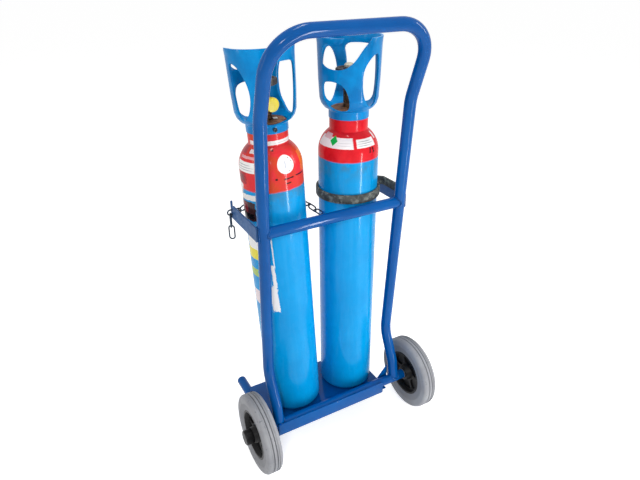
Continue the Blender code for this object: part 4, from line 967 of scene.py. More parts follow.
@dataclass
class Studio:
    """The pale floor, the soft lamps and the camera at the picture's place."""

    eye: tuple[float, float, float] = (-0.5589, -1.0023355, 1.1337)
    azimuth_deg: float = -29.278
    elevation_deg: float = 27.7805
    roll_deg: float = -0.3852
    focal_px: float = 542.22
    centre_px: tuple[float, float] = (325.784, 245.355)
    width_px: int = 640
    height_px: int = 480
    sky_level: float = 0.40
    floor_glow: float = 0.61

    def camera(self) -> None:
        """Make the camera that sees the trolley as the picture does."""
        az, el, roll = (math.radians(v) for v in (self.azimuth_deg, self.elevation_deg, self.roll_deg))
        ahead = Vector((-math.sin(az) * math.cos(el), math.cos(az) * math.cos(el), -math.sin(el)))
        right = ahead.cross(Vector((0, 0, 1))).normalized()
        up = right.cross(ahead)
        side = right * math.cos(roll) + up * math.sin(roll)
        top = up * math.cos(roll) - right * math.sin(roll)
        data = bpy.data.cameras.new("camera")
        data.sensor_width = 36.0
        data.lens = self.focal_px / self.width_px * data.sensor_width
        data.shift_x = -(self.centre_px[0] - self.width_px / 2) / self.width_px
        data.shift_y = (self.centre_px[1] - self.height_px / 2) / self.width_px
        data.clip_start, data.clip_end = 0.01, 200.0
        data.dof.use_dof = False
        camera = bpy.data.objects.new("camera", data)
        camera.matrix_world = Matrix.Translation(self.eye) @ Matrix((side, top, -ahead)).transposed().to_4x4()
        bpy.context.scene.collection.objects.link(camera)
        bpy.context.scene.camera = camera

    def world(self) -> None:
        """An even pale sky that the camera and mirrors see as white."""
        world = bpy.data.worlds.new("studio")
        world.use_nodes = True
        bpy.context.scene.world = world
        tree = world.node_tree
        tree.nodes.clear()
        path = add_node(tree, "LightPath")
        seen = add_node(tree, "Math", {"operation": "MAXIMUM"},
                        {0: path.outputs["Is Camera Ray"], 1: path.outputs["Is Transmission Ray"]})
        shown = add_node(tree, "Math", {"operation": "MAXIMUM"},
                         {0: seen.outputs[0], 1: path.outputs["Is Glossy Ray"]})
        level = add_node(tree, "MapRange", {3: self.sky_level, 4: 1.0}, {0: shown.outputs[0]})
        sky = add_node(tree, "Background", {"Color": (1, 1, 1, 1)}, {"Strength": level.outputs[0]})
        add_node(tree, "OutputWorld", {}, {"Surface": sky.outputs[0]})

    def floor(self) -> None:
        """A wide white floor that keeps the trolley's shadow."""
        bm = bmesh.new()
        bmesh.ops.create_circle(bm, cap_ends=True, radius=60.0, segments=64)
        mesh = bpy.data.meshes.new("floor")
        bm.to_mesh(mesh)
        bm.free()
        floor = bpy.data.objects.new("floor", mesh)
        bpy.context.scene.collection.objects.link(floor)
        material = bpy.data.materials.new("white_studio_floor")
        material.use_nodes = True
        tree = material.node_tree
        shader = tree.nodes["Principled BSDF"]
        shader.inputs["Base Color"].default_value = linear("#FAFAFA")
        shader.inputs["Roughness"].default_value = 0.9
        shader.inputs["Specular IOR Level"].default_value = 0.0
        path = add_node(tree, "LightPath")
        seen = add_node(tree, "Math", {"operation": "MAXIMUM"},
                        {0: path.outputs["Is Camera Ray"], 1: path.outputs["Is Glossy Ray"]})
        glow = add_node(tree, "Math", {"operation": "MULTIPLY", 1: self.floor_glow}, {0: seen.outputs[0]})
        light = add_node(tree, "Emission", {"Color": (1, 1, 1, 1)}, {"Strength": glow.outputs[0]})
        both = add_node(tree, "AddShader", {}, {0: shader.outputs[0], 1: light.outputs[0]})
        tree.links.new(both.outputs[0], tree.nodes["Material Output"].inputs["Surface"])
        mesh.materials.append(material)

    def build(self) -> None:
        """Set up floor, sky, lamps and camera."""
        bpy.context.scene.view_settings.view_transform = "Standard"
        self.world()
        self.floor()
        for lamp in LAMPS:
            lamp.build()
        self.camera()


class Side(Enum):
    """The pusher's left or right."""

    LEFT = -1
    RIGHT = 1

    @property
    def word(self) -> str:
        """The side as it stands in node names."""
        return self.name.lower()


# ---------------------------------------------------------------- tube frame


@dataclass
class TubeFrame:
    """The bent tube, the crossbar, the arms and the weld beads between them."""

    tube_r: float = 0.01345
    half_width: float = 0.175
    bends: tuple[float, ...] = (0.045, 0.090, 0.110, 0.080)
    corners: tuple[tuple[float, float], ...] = (
        (0.0010, 0.10625), (0.009, 0.152), (0.0487, 0.2355), (0.0037, 0.8676), (-0.0543, 1.0274))
    bar_r: float = 0.0130
    bar: tuple[float, float] = (0.02097, 0.625)
    housing_r: float = 0.0125
    arm_y: float = 0.02084
    arm_z: tuple[float, float] = (0.6103, 0.6433)
    bead_r: float = 0.0021
    ripple: float = 0.0009
    ripples_per_metre: float = 330.0

    def loop(self) -> bpy.types.Object:
        """The uprights and the push bar, bent from one tube.

        Returns:
            The new piece.
        """
        left = [Vector((-self.half_width, y, z)) for y, z in self.corners]
        right = [Vector((self.half_width, y, z)) for y, z in reversed(self.corners)]
        path = bent(left + right, self.bends + self.bends[::-1], 14)
        return make_piece("frame_tube", tube(path, self.tube_r, detail=12), HOME, FRAME_ENAMEL, "frame",
                          ["frame_loop"])

    def crossbar(self) -> bpy.types.Object:
        """The round bar between the uprights.

        Returns:
            The new piece.
        """
        reach = self.half_width - self.tube_r / 2
        place = HOME @ facing((0, *self.bar), "X")
        return make_piece("frame_crossbar", rod(self.bar_r, -reach, reach, 48), place, FRAME_ENAMEL, "frame",
                          ["crossbar"])

    def bead(self, name: str, points: Sequence[Vector], closed: bool = True,
             size: float = 1.0) -> bpy.types.Object:
        """One painted weld bead along points, with the ripple of a hand weld.

        Args:
            name: The piece's name.
            points: The bead's middle line.
            closed: Whether the last point joins the first one.
            size: How thick it is, against the usual bead.

        Returns:
            The new piece.
        """
        bm = tube(points, self.bead_r * size, cyclic=closed, detail=4)
        bmesh.ops.transform(bm, matrix=HOME, verts=bm.verts)
        bm.normal_update()
        for vert in bm.verts:
            vert.co += vert.normal * self.ripple * size * noise.noise(vert.co * self.ripples_per_metre)
        return make_piece(name, bm, Matrix.Identity(4), WELD_ENAMEL, "frame", sharp_deg=60)

    def welds(self) -> None:
        """Beads where the uprights, the crossbar and the arms meet."""
        for side in Side:
            x = side.value * self.half_width
            foot = saddle(Vector((x, 0.0005, 0.1)), Vector((0, 0, 1)), Vector((1, 0, 0)), self.tube_r,
                          self.housing_r)
            self.bead(f"{side.word}_foot_weld", foot)
            bar = saddle(Vector((x, *self.bar)), Vector((-side.value, 0, 0)), Vector((0, 0, 1)), self.bar_r,
                         self.tube_r)
            self.bead(f"{side.word}_bar_weld", bar)
            edge = x + side.value * (self.tube_r - 0.0008)
            for word, shift in (("rear", -0.0058), ("front", 0.0058)):
                heights = [self.arm_z[0] + 0.033 * step / 10 for step in range(11)]
                line = [Vector((edge, self.arm_y + shift, height)) for height in heights]
                self.bead(f"{side.word}_arm_{word}_weld", line, closed=False, size=0.8)

    def build(self) -> None:
        """Build the tube, the bar and the welds, and dress what keeps its CAD shape."""
        self.loop()
        self.crossbar()
        self.welds()
        dress(ARM_ENAMEL, "left_arm", "right_arm")
        dress(FRAME_ENAMEL, "chain_lug")


@dataclass
class Undercarriage:
    """The axle housing, the tray, the foot tubes, the legs and the rubber feet."""

    housing_half: float = 0.2058
    housing_r: float = 0.0125
    housing_bore: float = 0.0063
    tube_z: float = 0.0598
    tube_r: float = 0.0125
    tube_y: tuple[float, float] = (0.055, 0.24337)
    feet: tuple[tuple[str, float], ...] = (("left", -0.183), ("right", 0.137))
    leg_y: float = 0.15997
    leg_r: float = 0.010
    pad_r: float = 0.015
    pad_height: float = 0.022
    plug_r: float = 0.0118
    plug_height: float = 0.002

    def foot(self, word: str, x: float) -> None:
        """One foot tube with its plug, leg and rubber pad.

        Args:
            word: The side as it stands in node names.
            x: Where the foot stands across the trolley.
        """
        along = HOME @ facing((x, 0, self.tube_z), "Y")
        make_piece(f"{word}_foot_rail", rod(self.tube_r, *self.tube_y, 48), along, FRAME_ENAMEL, "frame",
                   [f"{word}_foot_tube"])
        end = self.tube_y[1] + CLEARANCE
        top = end + self.plug_height
        lip = rounded([(0.0, top), (self.plug_r, top), (self.plug_r, end), (0.0, end)], 0.0009)
        make_piece(f"{word}_foot_end_plug", revolve(lip, 48, False), along, BLACK_PLASTIC, "frame",
                   [f"{word}_foot_plug"])
        upright = HOME @ facing((x, self.leg_y, 0), "Z")
        leg = rod(self.leg_r, 0.0063, self.tube_z - 0.004, 40)
        make_piece(f"{word}_leg_post", leg, upright, FRAME_ENAMEL, "frame", [f"{word}_leg"])
        pad = [(0.0, 0.0), (self.pad_r, 0.0), (self.pad_r, 0.004), (self.pad_r - 0.0007, 0.0048),
               (self.pad_r - 0.002, self.pad_height), (self.leg_r + CLEARANCE, self.pad_height),
               (self.leg_r + CLEARANCE, 0.006), (0.0, 0.006)]
        make_piece(f"{word}_foot_pad", revolve(rounded(pad, 0.0012), 48, False), upright, FOOT_RUBBER,
                   "frame", [f"{word}_rubber_foot"])

    def build(self) -> None:
        """Build the finer round pieces and soften the plates."""
        housing = [(self.housing_bore, -self.housing_half), (self.housing_r, -self.housing_half),
                   (self.housing_r, self.housing_half), (self.housing_bore, self.housing_half)]
        make_piece("axle_tube", revolve(housing, 48, True), HOME @ facing(AXLE_BUILT, "X"), FRAME_ENAMEL,
                   "frame", ["axle_housing"])
        for word, x in self.feet:
            self.foot(word, x)
        soften("folded_tray", "tray", FRAME_ENAMEL, "frame", 0.0007)
        soften("corner_gusset", "right_gusset", FRAME_ENAMEL, "frame", 0.0006)
        dress(ZINC_STEEL, "axle", "left_spacer_washer", "right_spacer_washer", "left_axle_clip",
              "right_axle_clip")


# ---------------------------------------------------------------- wheels


@dataclass
class Wheel:
    """One wheel with its ribbed solid tyre, spoked rim, bush and hub cap."""

    side: Side
    out: float = 0.2287
    radius: float = 0.100
    half: float = 0.020
    shoulder: float = 0.010
    seat: float = 0.0623
    rim_r: float = 0.062
    rim_half: float = 0.017
    hub_r: float = 0.019
    bore: float = 0.0086
    hub_half: float = 0.020
    floor_half: float = 0.006
    web_half: float = 0.0015
    cap_height: float = 0.0203
    shoulder_deg: float = 78.0
    grooves: int = 4
    first_groove: float = 0.01275
    groove_pitch: float = 0.0085
    groove_depth: float = 0.0022
    groove_halves: tuple[float, float] = (0.0017, 0.0007)
    outer_drop: float = 0.0011
    spokes: int = 6
    spoke_half: float = 0.0045
    pocket_r: tuple[float, float] = (0.052, 0.026)

    def tyre_line(self) -> list[tuple[float, float]]:
        """Half section of the tyre: rounded shoulders, ribbed tread and a step in each sidewall.

        Returns:
            (radius, height along the axle) points.
        """
        centre, tread = self.radius - self.shoulder, self.half - self.shoulder
        crown = arc((centre, tread), self.shoulder, self.shoulder_deg, 0, 6)
        mouth, bottom = self.groove_halves
        for index in range(self.grooves):
            middle = self.first_groove - index * self.groove_pitch
            top = self.radius - middle * middle / (4 * self.radius) - 0.00002
            if abs(middle) > tread:
                top -= self.outer_drop
            floor = top - self.groove_depth
            crown += [(top, middle + mouth), (floor, middle + bottom), (floor, middle - bottom),
                      (top, middle - mouth)]
        crown += arc((centre, -tread), self.shoulder, 0, -self.shoulder_deg, 6)
        outer = [(0.0800, self.half - 0.0006), (0.0790, self.half - 0.0016), (0.0670, self.half - 0.0016),
                 (0.0655, self.half - 0.0024)]
        inner = [(r, -z) for r, z in reversed(outer)]
        return outer[::-1] + crown + inner + [(self.seat, -self.rim_half), (self.seat, self.rim_half)]

    def rim(self) -> bpy.types.Mesh:
        """The plastic rim with blind pockets between the spokes on both sides.

        Returns:
            The rim's mesh, about its own Z.
        """
        flange = self.rim_r - 0.005
        below = [(self.rim_r, -self.rim_half), (flange, -self.rim_half), (flange - 0.002, -self.floor_half),
                 (self.hub_r + 0.004, -self.floor_half), (self.hub_r, -self.hub_half),
                 (self.bore, -self.hub_half)]
        above = [(radius, -height) for radius, height in reversed(below)]
        line = [above[-1], *below, *above[:-1]]
        pockets = []
        for index in range(self.spokes):
            for low, high in ((self.web_half, self.hub_half), (-self.hub_half, -self.web_half)):
                shape = plate(self.pocket_line(), low, high)
                bmesh.ops.transform(shape, matrix=spin(360 * index / self.spokes), verts=shape.verts)
                pockets.append(shape)
        return cut(revolve(line, 96, True), pockets, 0.0007)

    def pocket_line(self) -> list[tuple[float, float]]:
        """The outline of the gap between two spokes, about local X.

        Returns:
            The outline's corners.
        """
        half_turn = math.pi / self.spokes
        line = []
        for radius, shares in zip(self.pocket_r, ((-1, -0.5, 0, 0.5, 1), (1, 0, -1))):
            reach = half_turn - math.asin(self.spoke_half / radius)
            line += [(radius * math.cos(s * reach), radius * math.sin(s * reach)) for s in shares]
        return corner_cut(line)

    def build(self) -> None:
        """Build the tyre, the rim and the cap, and dress the bush."""
        word, body = self.side.word, self.side.word + "_wheel"
        outwards = "X" if self.side is Side.RIGHT else "-X"
        place = HOME @ facing((self.side.value * self.out, AXLE_BUILT.y, AXLE_BUILT.z), outwards)
        make_piece(f"{word}_solid_tyre", revolve(self.tyre_line(), 160, True), place, GREY_RUBBER, body,
                   [f"{word}_tyre"], sharp_deg=40)
        rim = self.rim()
        rim.transform(place)
        settle(f"{word}_spoked_rim", rim, BLACK_PLASTIC, body, [f"{word}_rim"])
        low, high, r = self.half + CLEARANCE, self.half + self.cap_height, self.hub_r
        cap = rounded([(0.0, high), (r - 0.0004, high), (r, low), (r - 0.0025, low),
                       (r - 0.0025, high - 0.006), (0.0, high - 0.006)], 0.0042, 6)
        make_piece(f"{word}_hub_cover", revolve(cap, 64, False), place, BLACK_PLASTIC, body,
                   [f"{word}_hub_cap"])
        dress(ZINC_STEEL, f"{word}_bush")


# ---------------------------------------------------------------- gas cylinders

GuardWindows = dict[str, tuple[float, list[tuple[float, float]]]]

# Guard openings: the way each one faces, then its outline as (across, up) in millimetres.
RIGHT_WINDOWS: GuardWindows = {
    "low": (-28, [
        (-29, 82), (-9, 86), (7, 84), (20, 78), (28, 65), (33, 42), (28, 26), (9, 19), (-6, 21),
        (-16, 31), (-28, 47), (-33, 66)]),
    "mouth": (0, [
        (-57, 158), (-58, 122), (-50, 113), (-35, 109), (-16, 109), (0, 116), (14, 129), (28, 150),
        (44, 167), (58, 190), (-11, 190), (-11, 161), (-35, 160)]),
    "lens": (45, [
        (17, 140), (7, 139), (-7, 130), (-18, 116), (-23, 100), (-23, 78), (-20, 58), (-12, 40),
        (4, 28), (14, 30), (18, 41), (21, 69), (23, 102), (22, 127)]),
    "back": (155, [
        (-36, 146), (-40, 110), (-40, 60), (-34, 30), (-10, 22), (14, 22), (30, 40), (33, 80),
        (34, 115), (40, 147), (0, 149)]),
    "side": (226, [
        (-3, 144), (-15, 136), (-25, 105), (-25, 66), (-16, 36), (0, 24), (12, 26), (21, 45), (24, 84),
        (20, 120), (10, 140)]),
}
LEFT_WINDOWS: GuardWindows = {
    "slant": (-50, [
        (-15, 144), (0, 143), (12, 134), (25, 112), (30, 89), (29, 70), (22, 45), (9, 33), (-3, 34),
        (-10, 54), (-13, 79), (-13, 104), (-16, 124)]),
    "right": (30, [
        (-14, 143), (0, 145), (37, 144), (43, 127), (42, 92), (39, 57), (33, 36), (24, 22), (-2, 19),
        (-21, 19), (-30, 26), (-33, 50), (-31, 95), (-24, 128)]),
    "shade": (118, [
        (-24, 145), (-34, 132), (-36, 98), (-34, 60), (-26, 34), (-8, 26), (13, 30), (28, 48), (34, 67),
        (36, 97), (32, 126), (22, 144), (0, 146)]),
    "mouth": (218, [
        (-66, 190), (-65, 162), (-58, 140), (-45, 125), (-30, 119), (0, 117), (14, 118), (30, 125),
        (42, 138), (51, 153), (58, 163), (66, 170), (66, 190)]),
    "low": (218, [
        (-22, 90), (-31, 80), (-33, 60), (-30, 34), (-16, 22), (8, 20), (26, 28), (34, 48), (33, 72),
        (24, 88), (0, 92)]),
}

LABEL, GREY_LINE = "#F1EFEC", "#A7A8AE"
LEFT_MARKS = (
    # The label at the left of the shoulder with its grey lines, and torn strips above it.
    Mark((662, 684), (-80, -31), LABEL, 0.3),
    Mark((677, 678.4), (-74, -44), GREY_LINE, 0.1),
    Mark((672, 673.4), (-74, -38), GREY_LINE, 0.1),
    Mark((667, 668.4), (-74, -40), GREY_LINE, 0.1),
    Mark((690, 695), (-73, -33), "#E6A3A8", 0.8),
    Mark((701, 708), (-50, -34), "#EFE3E2", 0.6),
    # The torn tag and the tape under it, and the soot below.
    Mark((612, 638), (-92, -68), "#ECE7E4", 1.6, 20),
    Mark((597, 610), (-92, -36), "#E9E4E1", 1.2, -4),
    Mark((549, 594), (-83, -38), "#3A2326", 2.2),
    Mark((566, 590), (-80, -58), "#7D2C31", 2.0),
    Mark((553, 566), (-66, -44), "#120F12", 1.8),
    # Bare labels down the left side, and the torn edge of a long one.
    Mark((472, 510), (-76, -42), "#EDEDEB", 1.0),
    Mark((451, 478), (-77, -45), "#E8D94A", 1.2),
    Mark((404, 424), (-80, -50), "#A9C368", 1.6),
    Mark((327, 365), (-77, -53), "#E9DADD", 1.8),
    Mark((436, 507), (-14.6, -12.2), "#EFEDEA", 0.5, -1),
    Mark((380, 445), (-19, -12.0), "#EFEDEA", 1.2, -3),
    Mark((318, 388), (-26, -11.5), "#F1EFEC", 1.6, -4),
    # Darker red at the left of the shoulder: partly painted shade on the flank turned from the light, partly
    # mottled old paint.
    Mark((634, 662), (-84, -52), "#A82A30", 2.4),
    Mark((640, 655), (-72, -58), "#7A3338", 2.0),
    Mark((698, 716), (-88, -62), "#B23B44", 2.2),
    # The round sticker with its specks, and the orange patch.
    Mark((658, 696.5), (10.5, 43.5), "#F6F4F1", 0.25, 0, Shape.ROUND),
    Mark((670, 684), (24.5, 26.5), "#B9BDC8", 0.3, 6),
    Mark((689, 691), (33, 35), "#3A3336", 0.2),
    Mark((681, 683), (38, 40), "#3A3336", 0.2),
    Mark((670, 672), (38, 40), "#3A3336", 0.2),
    Mark((663, 665), (32, 34), "#3A3336", 0.2),
    Mark((652, 694), (63, 86), "#E5702C", 1.4),
    # Dark scuffs on the shoulder.
    Mark((645.5, 648.5), (21, 40), "#20161A", 0.5, -3),
    Mark((646.5, 649), (46, 72), "#20161A", 0.6, 3),
    Mark((635.5, 638), (23, 33), "#20161A", 0.5),
    Mark((705, 707.5), (4, 9), "#20161A", 0.4),
    Mark((647, 651), (5, 9), "#20161A", 0.6),
)
LEFT_RING_MARKS = (
    Mark((715.5, 724.5), (-60, 78), "#EFEAE8", 0.35),
    Mark((718.5, 720), (20, 60), "#C9C6C8", 0.1),
)
RIGHT_MARKS = (
    # The long label with a faded strip, grey lines and the green diamond.
    Mark((689, 710.5), (-77, 10), "#F0ECEC", 0.3),
    Mark((706, 716), (-68, -42), "#E3B9BD", 1.0),
    Mark((700, 701.4), (-20, 4), "#D5D1D3", 0.1),
    Mark((695, 696.4), (-20, 2), "#D5D1D3", 0.1),
    Mark((693.5, 714), (-41.6, -23.2), "#1DAE4A", 0.1, 0, Shape.DIAMOND),
    # The smaller label with its grey lines, two dark strokes and a torn strip.
    Mark((690, 707.5), (17, 63), LABEL, 0.3),
    Mark((702.2, 703.6), (23, 50), GREY_LINE, 0.1),
    Mark((698.0, 699.4), (23, 56), GREY_LINE, 0.1),
    Mark((693.8, 695.2), (23, 46), GREY_LINE, 0.1),
    Mark((676, 688), (44, 47), "#241A1C", 0.8, 12),
    Mark((676, 688), (52, 56), "#241A1C", 0.8, -10),
    Mark((702, 716), (70, 76), "#EFEDEA", 0.6),
)


@dataclass
class Guard:
    """The guard round the valve, its clamp ring of a neck, and its screw."""

    side: Side
    head: Matrix
    turn_deg: float
    screw_deg: float
    windows: GuardWindows
    collar_r: float = 0.0455
    collar_height: float = 0.0177
    belly: tuple[float, float] = (0.0655, 0.0427)
    top_r: float = 0.0715
    height: float = 0.171
    wall: float = 0.0048
    seat_r: float = 0.0418
    seat_h: float = 0.7468
    screw_r: float = 0.0045
    screw_height: float = 0.0038

    def wall_line(self) -> list[tuple[float, float]]:
        """The closed section of the wall, down its outer side first.

        Returns:
            (radius, height) points.
        """
        belly_r, belly_h = self.belly
        outer = [(self.collar_r, 0.0), (self.collar_r, self.collar_height),
                 (self.collar_r + 0.0100, self.collar_height + 0.0055), (belly_r - 0.0035, belly_h - 0.0110),
                 (belly_r, belly_h), (belly_r + 0.0025, belly_h * 2),
                 (self.top_r - 0.0015, self.height - 0.015), (self.top_r, self.height)]
        inner = [(max(radius - self.wall, self.seat_r), height) for radius, height in outer]
        inner[1] = (self.seat_r, self.collar_height + self.wall / 2)
        inner[2] = (inner[2][0], inner[2][1] + self.wall / 2)
        return rounded(outer, 0.007, 4)[::-1] + rounded(inner, 0.006, 4)

    def build(self) -> None:
        """Build the guard with its openings, and the screw with its socket."""
        word, body = self.side.word, self.side.word + "_gas_cylinder"
        place = self.head @ Matrix.Translation((0, 0, self.seat_h)) @ spin(self.turn_deg)
        tools = []
        for angle, outline in self.windows.values():
            shape = plate(corner_cut(corner_cut([(x / 1000, z / 1000) for x, z in outline])), 0.010, 0.0815)
            bmesh.ops.transform(shape, matrix=spin(angle) @ SIDE_ON, verts=shape.verts)
            tools.append(shape)
        mesh = cut(revolve(self.wall_line(), 128, True), tools, 0.0013)
        mesh.transform(place)
        settle(f"{word}_valve_guard", mesh, GUARD_PAINT, body, [f"{word}_guard"], sharp_deg=50)
        head = rounded([(0.0, self.screw_height), (self.screw_r, self.screw_height),
                        (self.screw_r, CLEARANCE), (0.0, CLEARANCE)], 0.0007)
        screw = cut(revolve(head, 32, False), [prism(6, 0.0024, 0.0018, 0.006)], 0.0)
        facing_out = spin(self.screw_deg) @ facing((self.collar_r, 0, self.collar_height / 2), "X")
        screw.transform(place @ facing_out)
        settle(f"{word}_socket_screw", screw, SCREW_STEEL, body, [f"{word}_guard_screw"])


@dataclass
class Valve:
    """The valve's body and outlet, the dust cap, the handwheel and its button."""

    side: Side
    head: Matrix
    turn_deg: float
    neck_h: float = 0.7618
    outlet_h: float = 0.8035
    outlet_r: float = 0.0100
    outlet_reach: float = 0.0300
    cap_r: float = 0.0148
    wheel_h: float = 0.8395
    wheel_r: float = 0.0305
    wheel_thick: float = 0.0125
    lobes: int = 8
    lobe_depth: float = 0.0016
    ribs: int = 24
    rib_depth: float = 0.00035
    threads: int = 10
    thread_start: float = 0.0140
    thread_pitch: float = 0.0015

    def body(self) -> bmesh.types.BMesh:
        """The brass body: round base, eight-sided block, gland nut and threaded outlet.

        Returns:
            A new bmesh of the body.
        """
        base = rounded([(0.0, self.neck_h), (0.0135, self.neck_h), (0.0135, 0.7755), (0.0112, 0.7795),
                        (0.0, 0.7795)], 0.0015)
        stem = rounded([(0.0, 0.8290), (0.0062, 0.8290), (0.0062, 0.8315), (0.0, 0.8315)], 0.0006)
        spout = [(0.0, 0.0), (0.0088, 0.0), (0.0088, 0.0125), (self.outlet_r, 0.0130)]
        for index in range(self.threads):
            z = self.thread_start + index * self.thread_pitch
            spout += [(self.outlet_r, z), (self.outlet_r - 0.0006, z + 0.0005), (self.outlet_r, z + 0.0010)]
        spout += [(self.outlet_r - 0.0008, self.outlet_reach), (0.0045, self.outlet_reach),
                  (0.0045, self.outlet_reach - 0.004), (0.0, self.outlet_reach - 0.004)]
        outlet = revolve(spout, 40, False)
        bmesh.ops.transform(outlet, matrix=facing((0, 0, self.outlet_h), "X"), verts=outlet.verts)
        return merged([revolve(base, 48, False), prism(8, 0.0135, 0.7790, 0.8165, 0.0010),
                       prism(6, 0.0105, 0.8165, 0.8292, 0.0008), revolve(stem, 40, False), outlet])

    def dust_cap(self) -> bpy.types.Mesh:
        """The ribbed cap on the outlet, hollow from its open end.

        Returns:
            The cap's mesh, about the outlet's axis.
        """
        low = self.outlet_reach - 0.006
        line = lobed(self.cap_r, self.rib_depth, self.ribs, 5 * self.ribs)
        hollow = rod(self.outlet_r + CLEARANCE, low - 0.01, self.outlet_reach + CLEARANCE, 48)
        return cut(plate(line, low, low + 0.011), [hollow], 0.0006)

    def wheel(self) -> bpy.types.Mesh:
        """The lobed handwheel with a dished top.

        Returns:
            The wheel's mesh in the cylinder's frame.
        """
        line = lobed(self.wheel_r, self.lobe_depth, self.lobes, 16 * self.lobes)
        top = self.wheel_h + self.wheel_thick
        floor, above = top - 0.0035, top + 0.004
        dish = revolve([(0.0135, floor), (0.0135, above), (0.0250, above), (0.0235, floor)], 64, True)
        return cut(plate(line, self.wheel_h, top), [dish], 0.0016)

    def build(self) -> None:
        """Build the valve's pieces on their bodies."""
        word = self.side.word
        place = self.head @ spin(self.turn_deg)
        make_piece(f"{word}_valve_block", self.body(), place, OLD_BRASS, word + "_gas_cylinder",
                   [f"{word}_valve_body"], sharp_deg=30)
        cap = self.dust_cap()
        cap.transform(place @ facing((0, 0, self.outlet_h), "X"))
        settle(f"{word}_dust_cap", cap, YELLOW_POLYTHENE, word + "_outlet_cap", [f"{word}_outlet_cap"])
        wheel = self.wheel()
        wheel.transform(self.head)
        settle(f"{word}_lobed_wheel", wheel, WHEEL_NYLON, word + "_valve_wheel", [f"{word}_handwheel"])
        low = self.wheel_h + self.wheel_thick + CLEARANCE
        button = rounded([(0.0, low + 0.010), (0.007, low + 0.0094), (0.011, low + 0.0060), (0.011, low),
                          (0.0, low)], 0.003, 5)
        make_piece(f"{word}_wheel_button", revolve(button, 56, False), self.head, CREAM_NYLON,
                   word + "_valve_wheel", [f"{word}_handwheel_cap"])
        dress(ZINC_STEEL, f"{word}_spindle")


@dataclass
class GasCylinder:
    """One gas cylinder with its neck ring, guard and valve."""

    side: Side
    base: tuple[float, float, float]
    axis: tuple[float, float, float]
    drop: float
    boundary_mm: float
    shoulder: tuple[str, str]
    marks: tuple[Mark, ...]
    ring_marks: tuple[Mark, ...]
    guard_turns: tuple[float, float]
    windows: GuardWindows
    outlet_deg: float
    radius: float = 0.070
    shoulder_h: float = 0.670
    rise: float = 0.064
    neck_r: float = 0.020
    neck_h: float = 0.7615
    ring_r: float = 0.044
    base_r: float = 0.014

    def place(self) -> Matrix:
        """The cylinder's own frame: base at the origin, axis along Z."""
        lean = Vector((0, 0, 1)).rotation_difference(Vector(self.axis))
        return HOME @ Matrix.Translation(self.base) @ lean.to_matrix().to_4x4()

    def paint(self, name: str, boundary_mm: float, marks: tuple[Mark, ...]) -> CylinderPaint:
        """Enamel whose heights and turns are counted from the side that faces the picture's camera.

        Args:
            name: The material's name.
            boundary_mm: The height at which the shoulder's colour begins.
            marks: The labels, smears and patches of painted shade on it.

        Returns:
            The finish.
        """
        place = self.place()
        up = (place.to_3x3() @ Vector((0, 0, 1))).normalized()
        towards = Vector(Studio.eye) - place.translation
        front = (towards - up * towards.dot(up)).normalized()
        turn = Matrix((front, up.cross(front), up)).transposed().to_euler("XYZ")
        return CylinderPaint(
            name, "#029ADC", "#018BCC", "#A8CFE4", (0.22, 0.34), drift_mm=60, grain_mm=1.6,
            grain_height_mm=0.03, wear_mm=2.4, wear_level=(0.755, 0.775), coat=0.20, sheen=0.04,
            shoulder=self.shoulder[0], shoulder_shade=self.shoulder[1], boundary_mm=boundary_mm,
            base=tuple(place.translation), turn=tuple(turn), marks=marks)

    def dome(self, radius: float) -> float:
        """Height of the shoulder's surface at a radius."""
        return self.shoulder_h + self.rise * math.sqrt(1 - (radius / self.radius) ** 2)

    def shell(self) -> bmesh.types.BMesh:
        """The drawn steel shell with its elliptical shoulder.

        Returns:
            A new bmesh of the shell.
        """
        line = [(0.0, self.neck_h), (self.neck_r, self.neck_h)]
        start = math.acos(self.neck_r / self.radius)
        for step in range(25):
            turn = start * (1 - step / 24)
            line.append((self.radius * math.cos(turn), self.shoulder_h + self.rise * math.sin(turn)))
        line = [(radius, height - self.drop) for radius, height in line]
        line += arc((self.radius - self.base_r, self.base_r), self.base_r, 0, -90, 8)
        return revolve(line + [(0.0, 0.0)], 160, False)

    def ring(self) -> bmesh.types.BMesh:
        """The neck ring, whose underside follows the shoulder.

        Returns:
            A new bmesh of the ring.
        """
        seat_r, seat_h, top_h = self.ring_r - 0.0025, 0.7465, 0.7645
        line = [(seat_r, top_h), (seat_r, seat_h), (self.ring_r, seat_h),
                (self.ring_r, self.dome(self.ring_r) + 0.0006)]
        bore = self.neck_r + CLEARANCE
        for share in (0.0, 0.2, 0.4, 0.6, 0.8, 1.0):
            radius = self.ring_r - 0.0005 + (bore - self.ring_r + 0.0005) * share
            line.append((radius, self.dome(radius) + 0.0009))
        return revolve([*line, (bore, top_h)], 128, True)

    def build(self) -> None:
        """Build the shell, the ring, the flange, the guard and the valve."""
        word, body = self.side.word, self.side.word + "_gas_cylinder"
        place = self.place()
        head = place @ Matrix.Translation((0, 0, -self.drop))
        enamel = self.paint(f"{word}_cylinder_enamel", self.boundary_mm, self.marks)
        make_piece(f"{word}_steel_shell", self.shell(), place, enamel, body, [f"{word}_cylinder"])
        red = self.paint(f"{word}_ring_enamel", 0.0, self.ring_marks)
        make_piece(f"{word}_clamp_ring", self.ring(), head, red, body, [f"{word}_neck_ring"])
        flange = rounded([(0.0140, 0.7648), (0.0402, 0.7648), (0.0402, 0.7672), (0.0140, 0.7680)], 0.0008)
        make_piece(f"{word}_flange_cover", revolve(flange, 96, True), head, RUSTY_FLANGE, body)
        Guard(self.side, head, *self.guard_turns, self.windows).build()
        Valve(self.side, head, self.outlet_deg).build()
        if self.side is Side.LEFT:
            x, y = 0.0045, 0.006
            tag = plate([(-x, -y), (x, -y), (x, y), (-x, y)], 0.7682, 0.7687)
            lying = head @ spin(-12) @ Matrix.Translation((0.0190, 0, 0))
            make_piece("left_flange_tag", tag, lying, PAPER_TAG, body)


# ---------------------------------------------------------------- chain and band


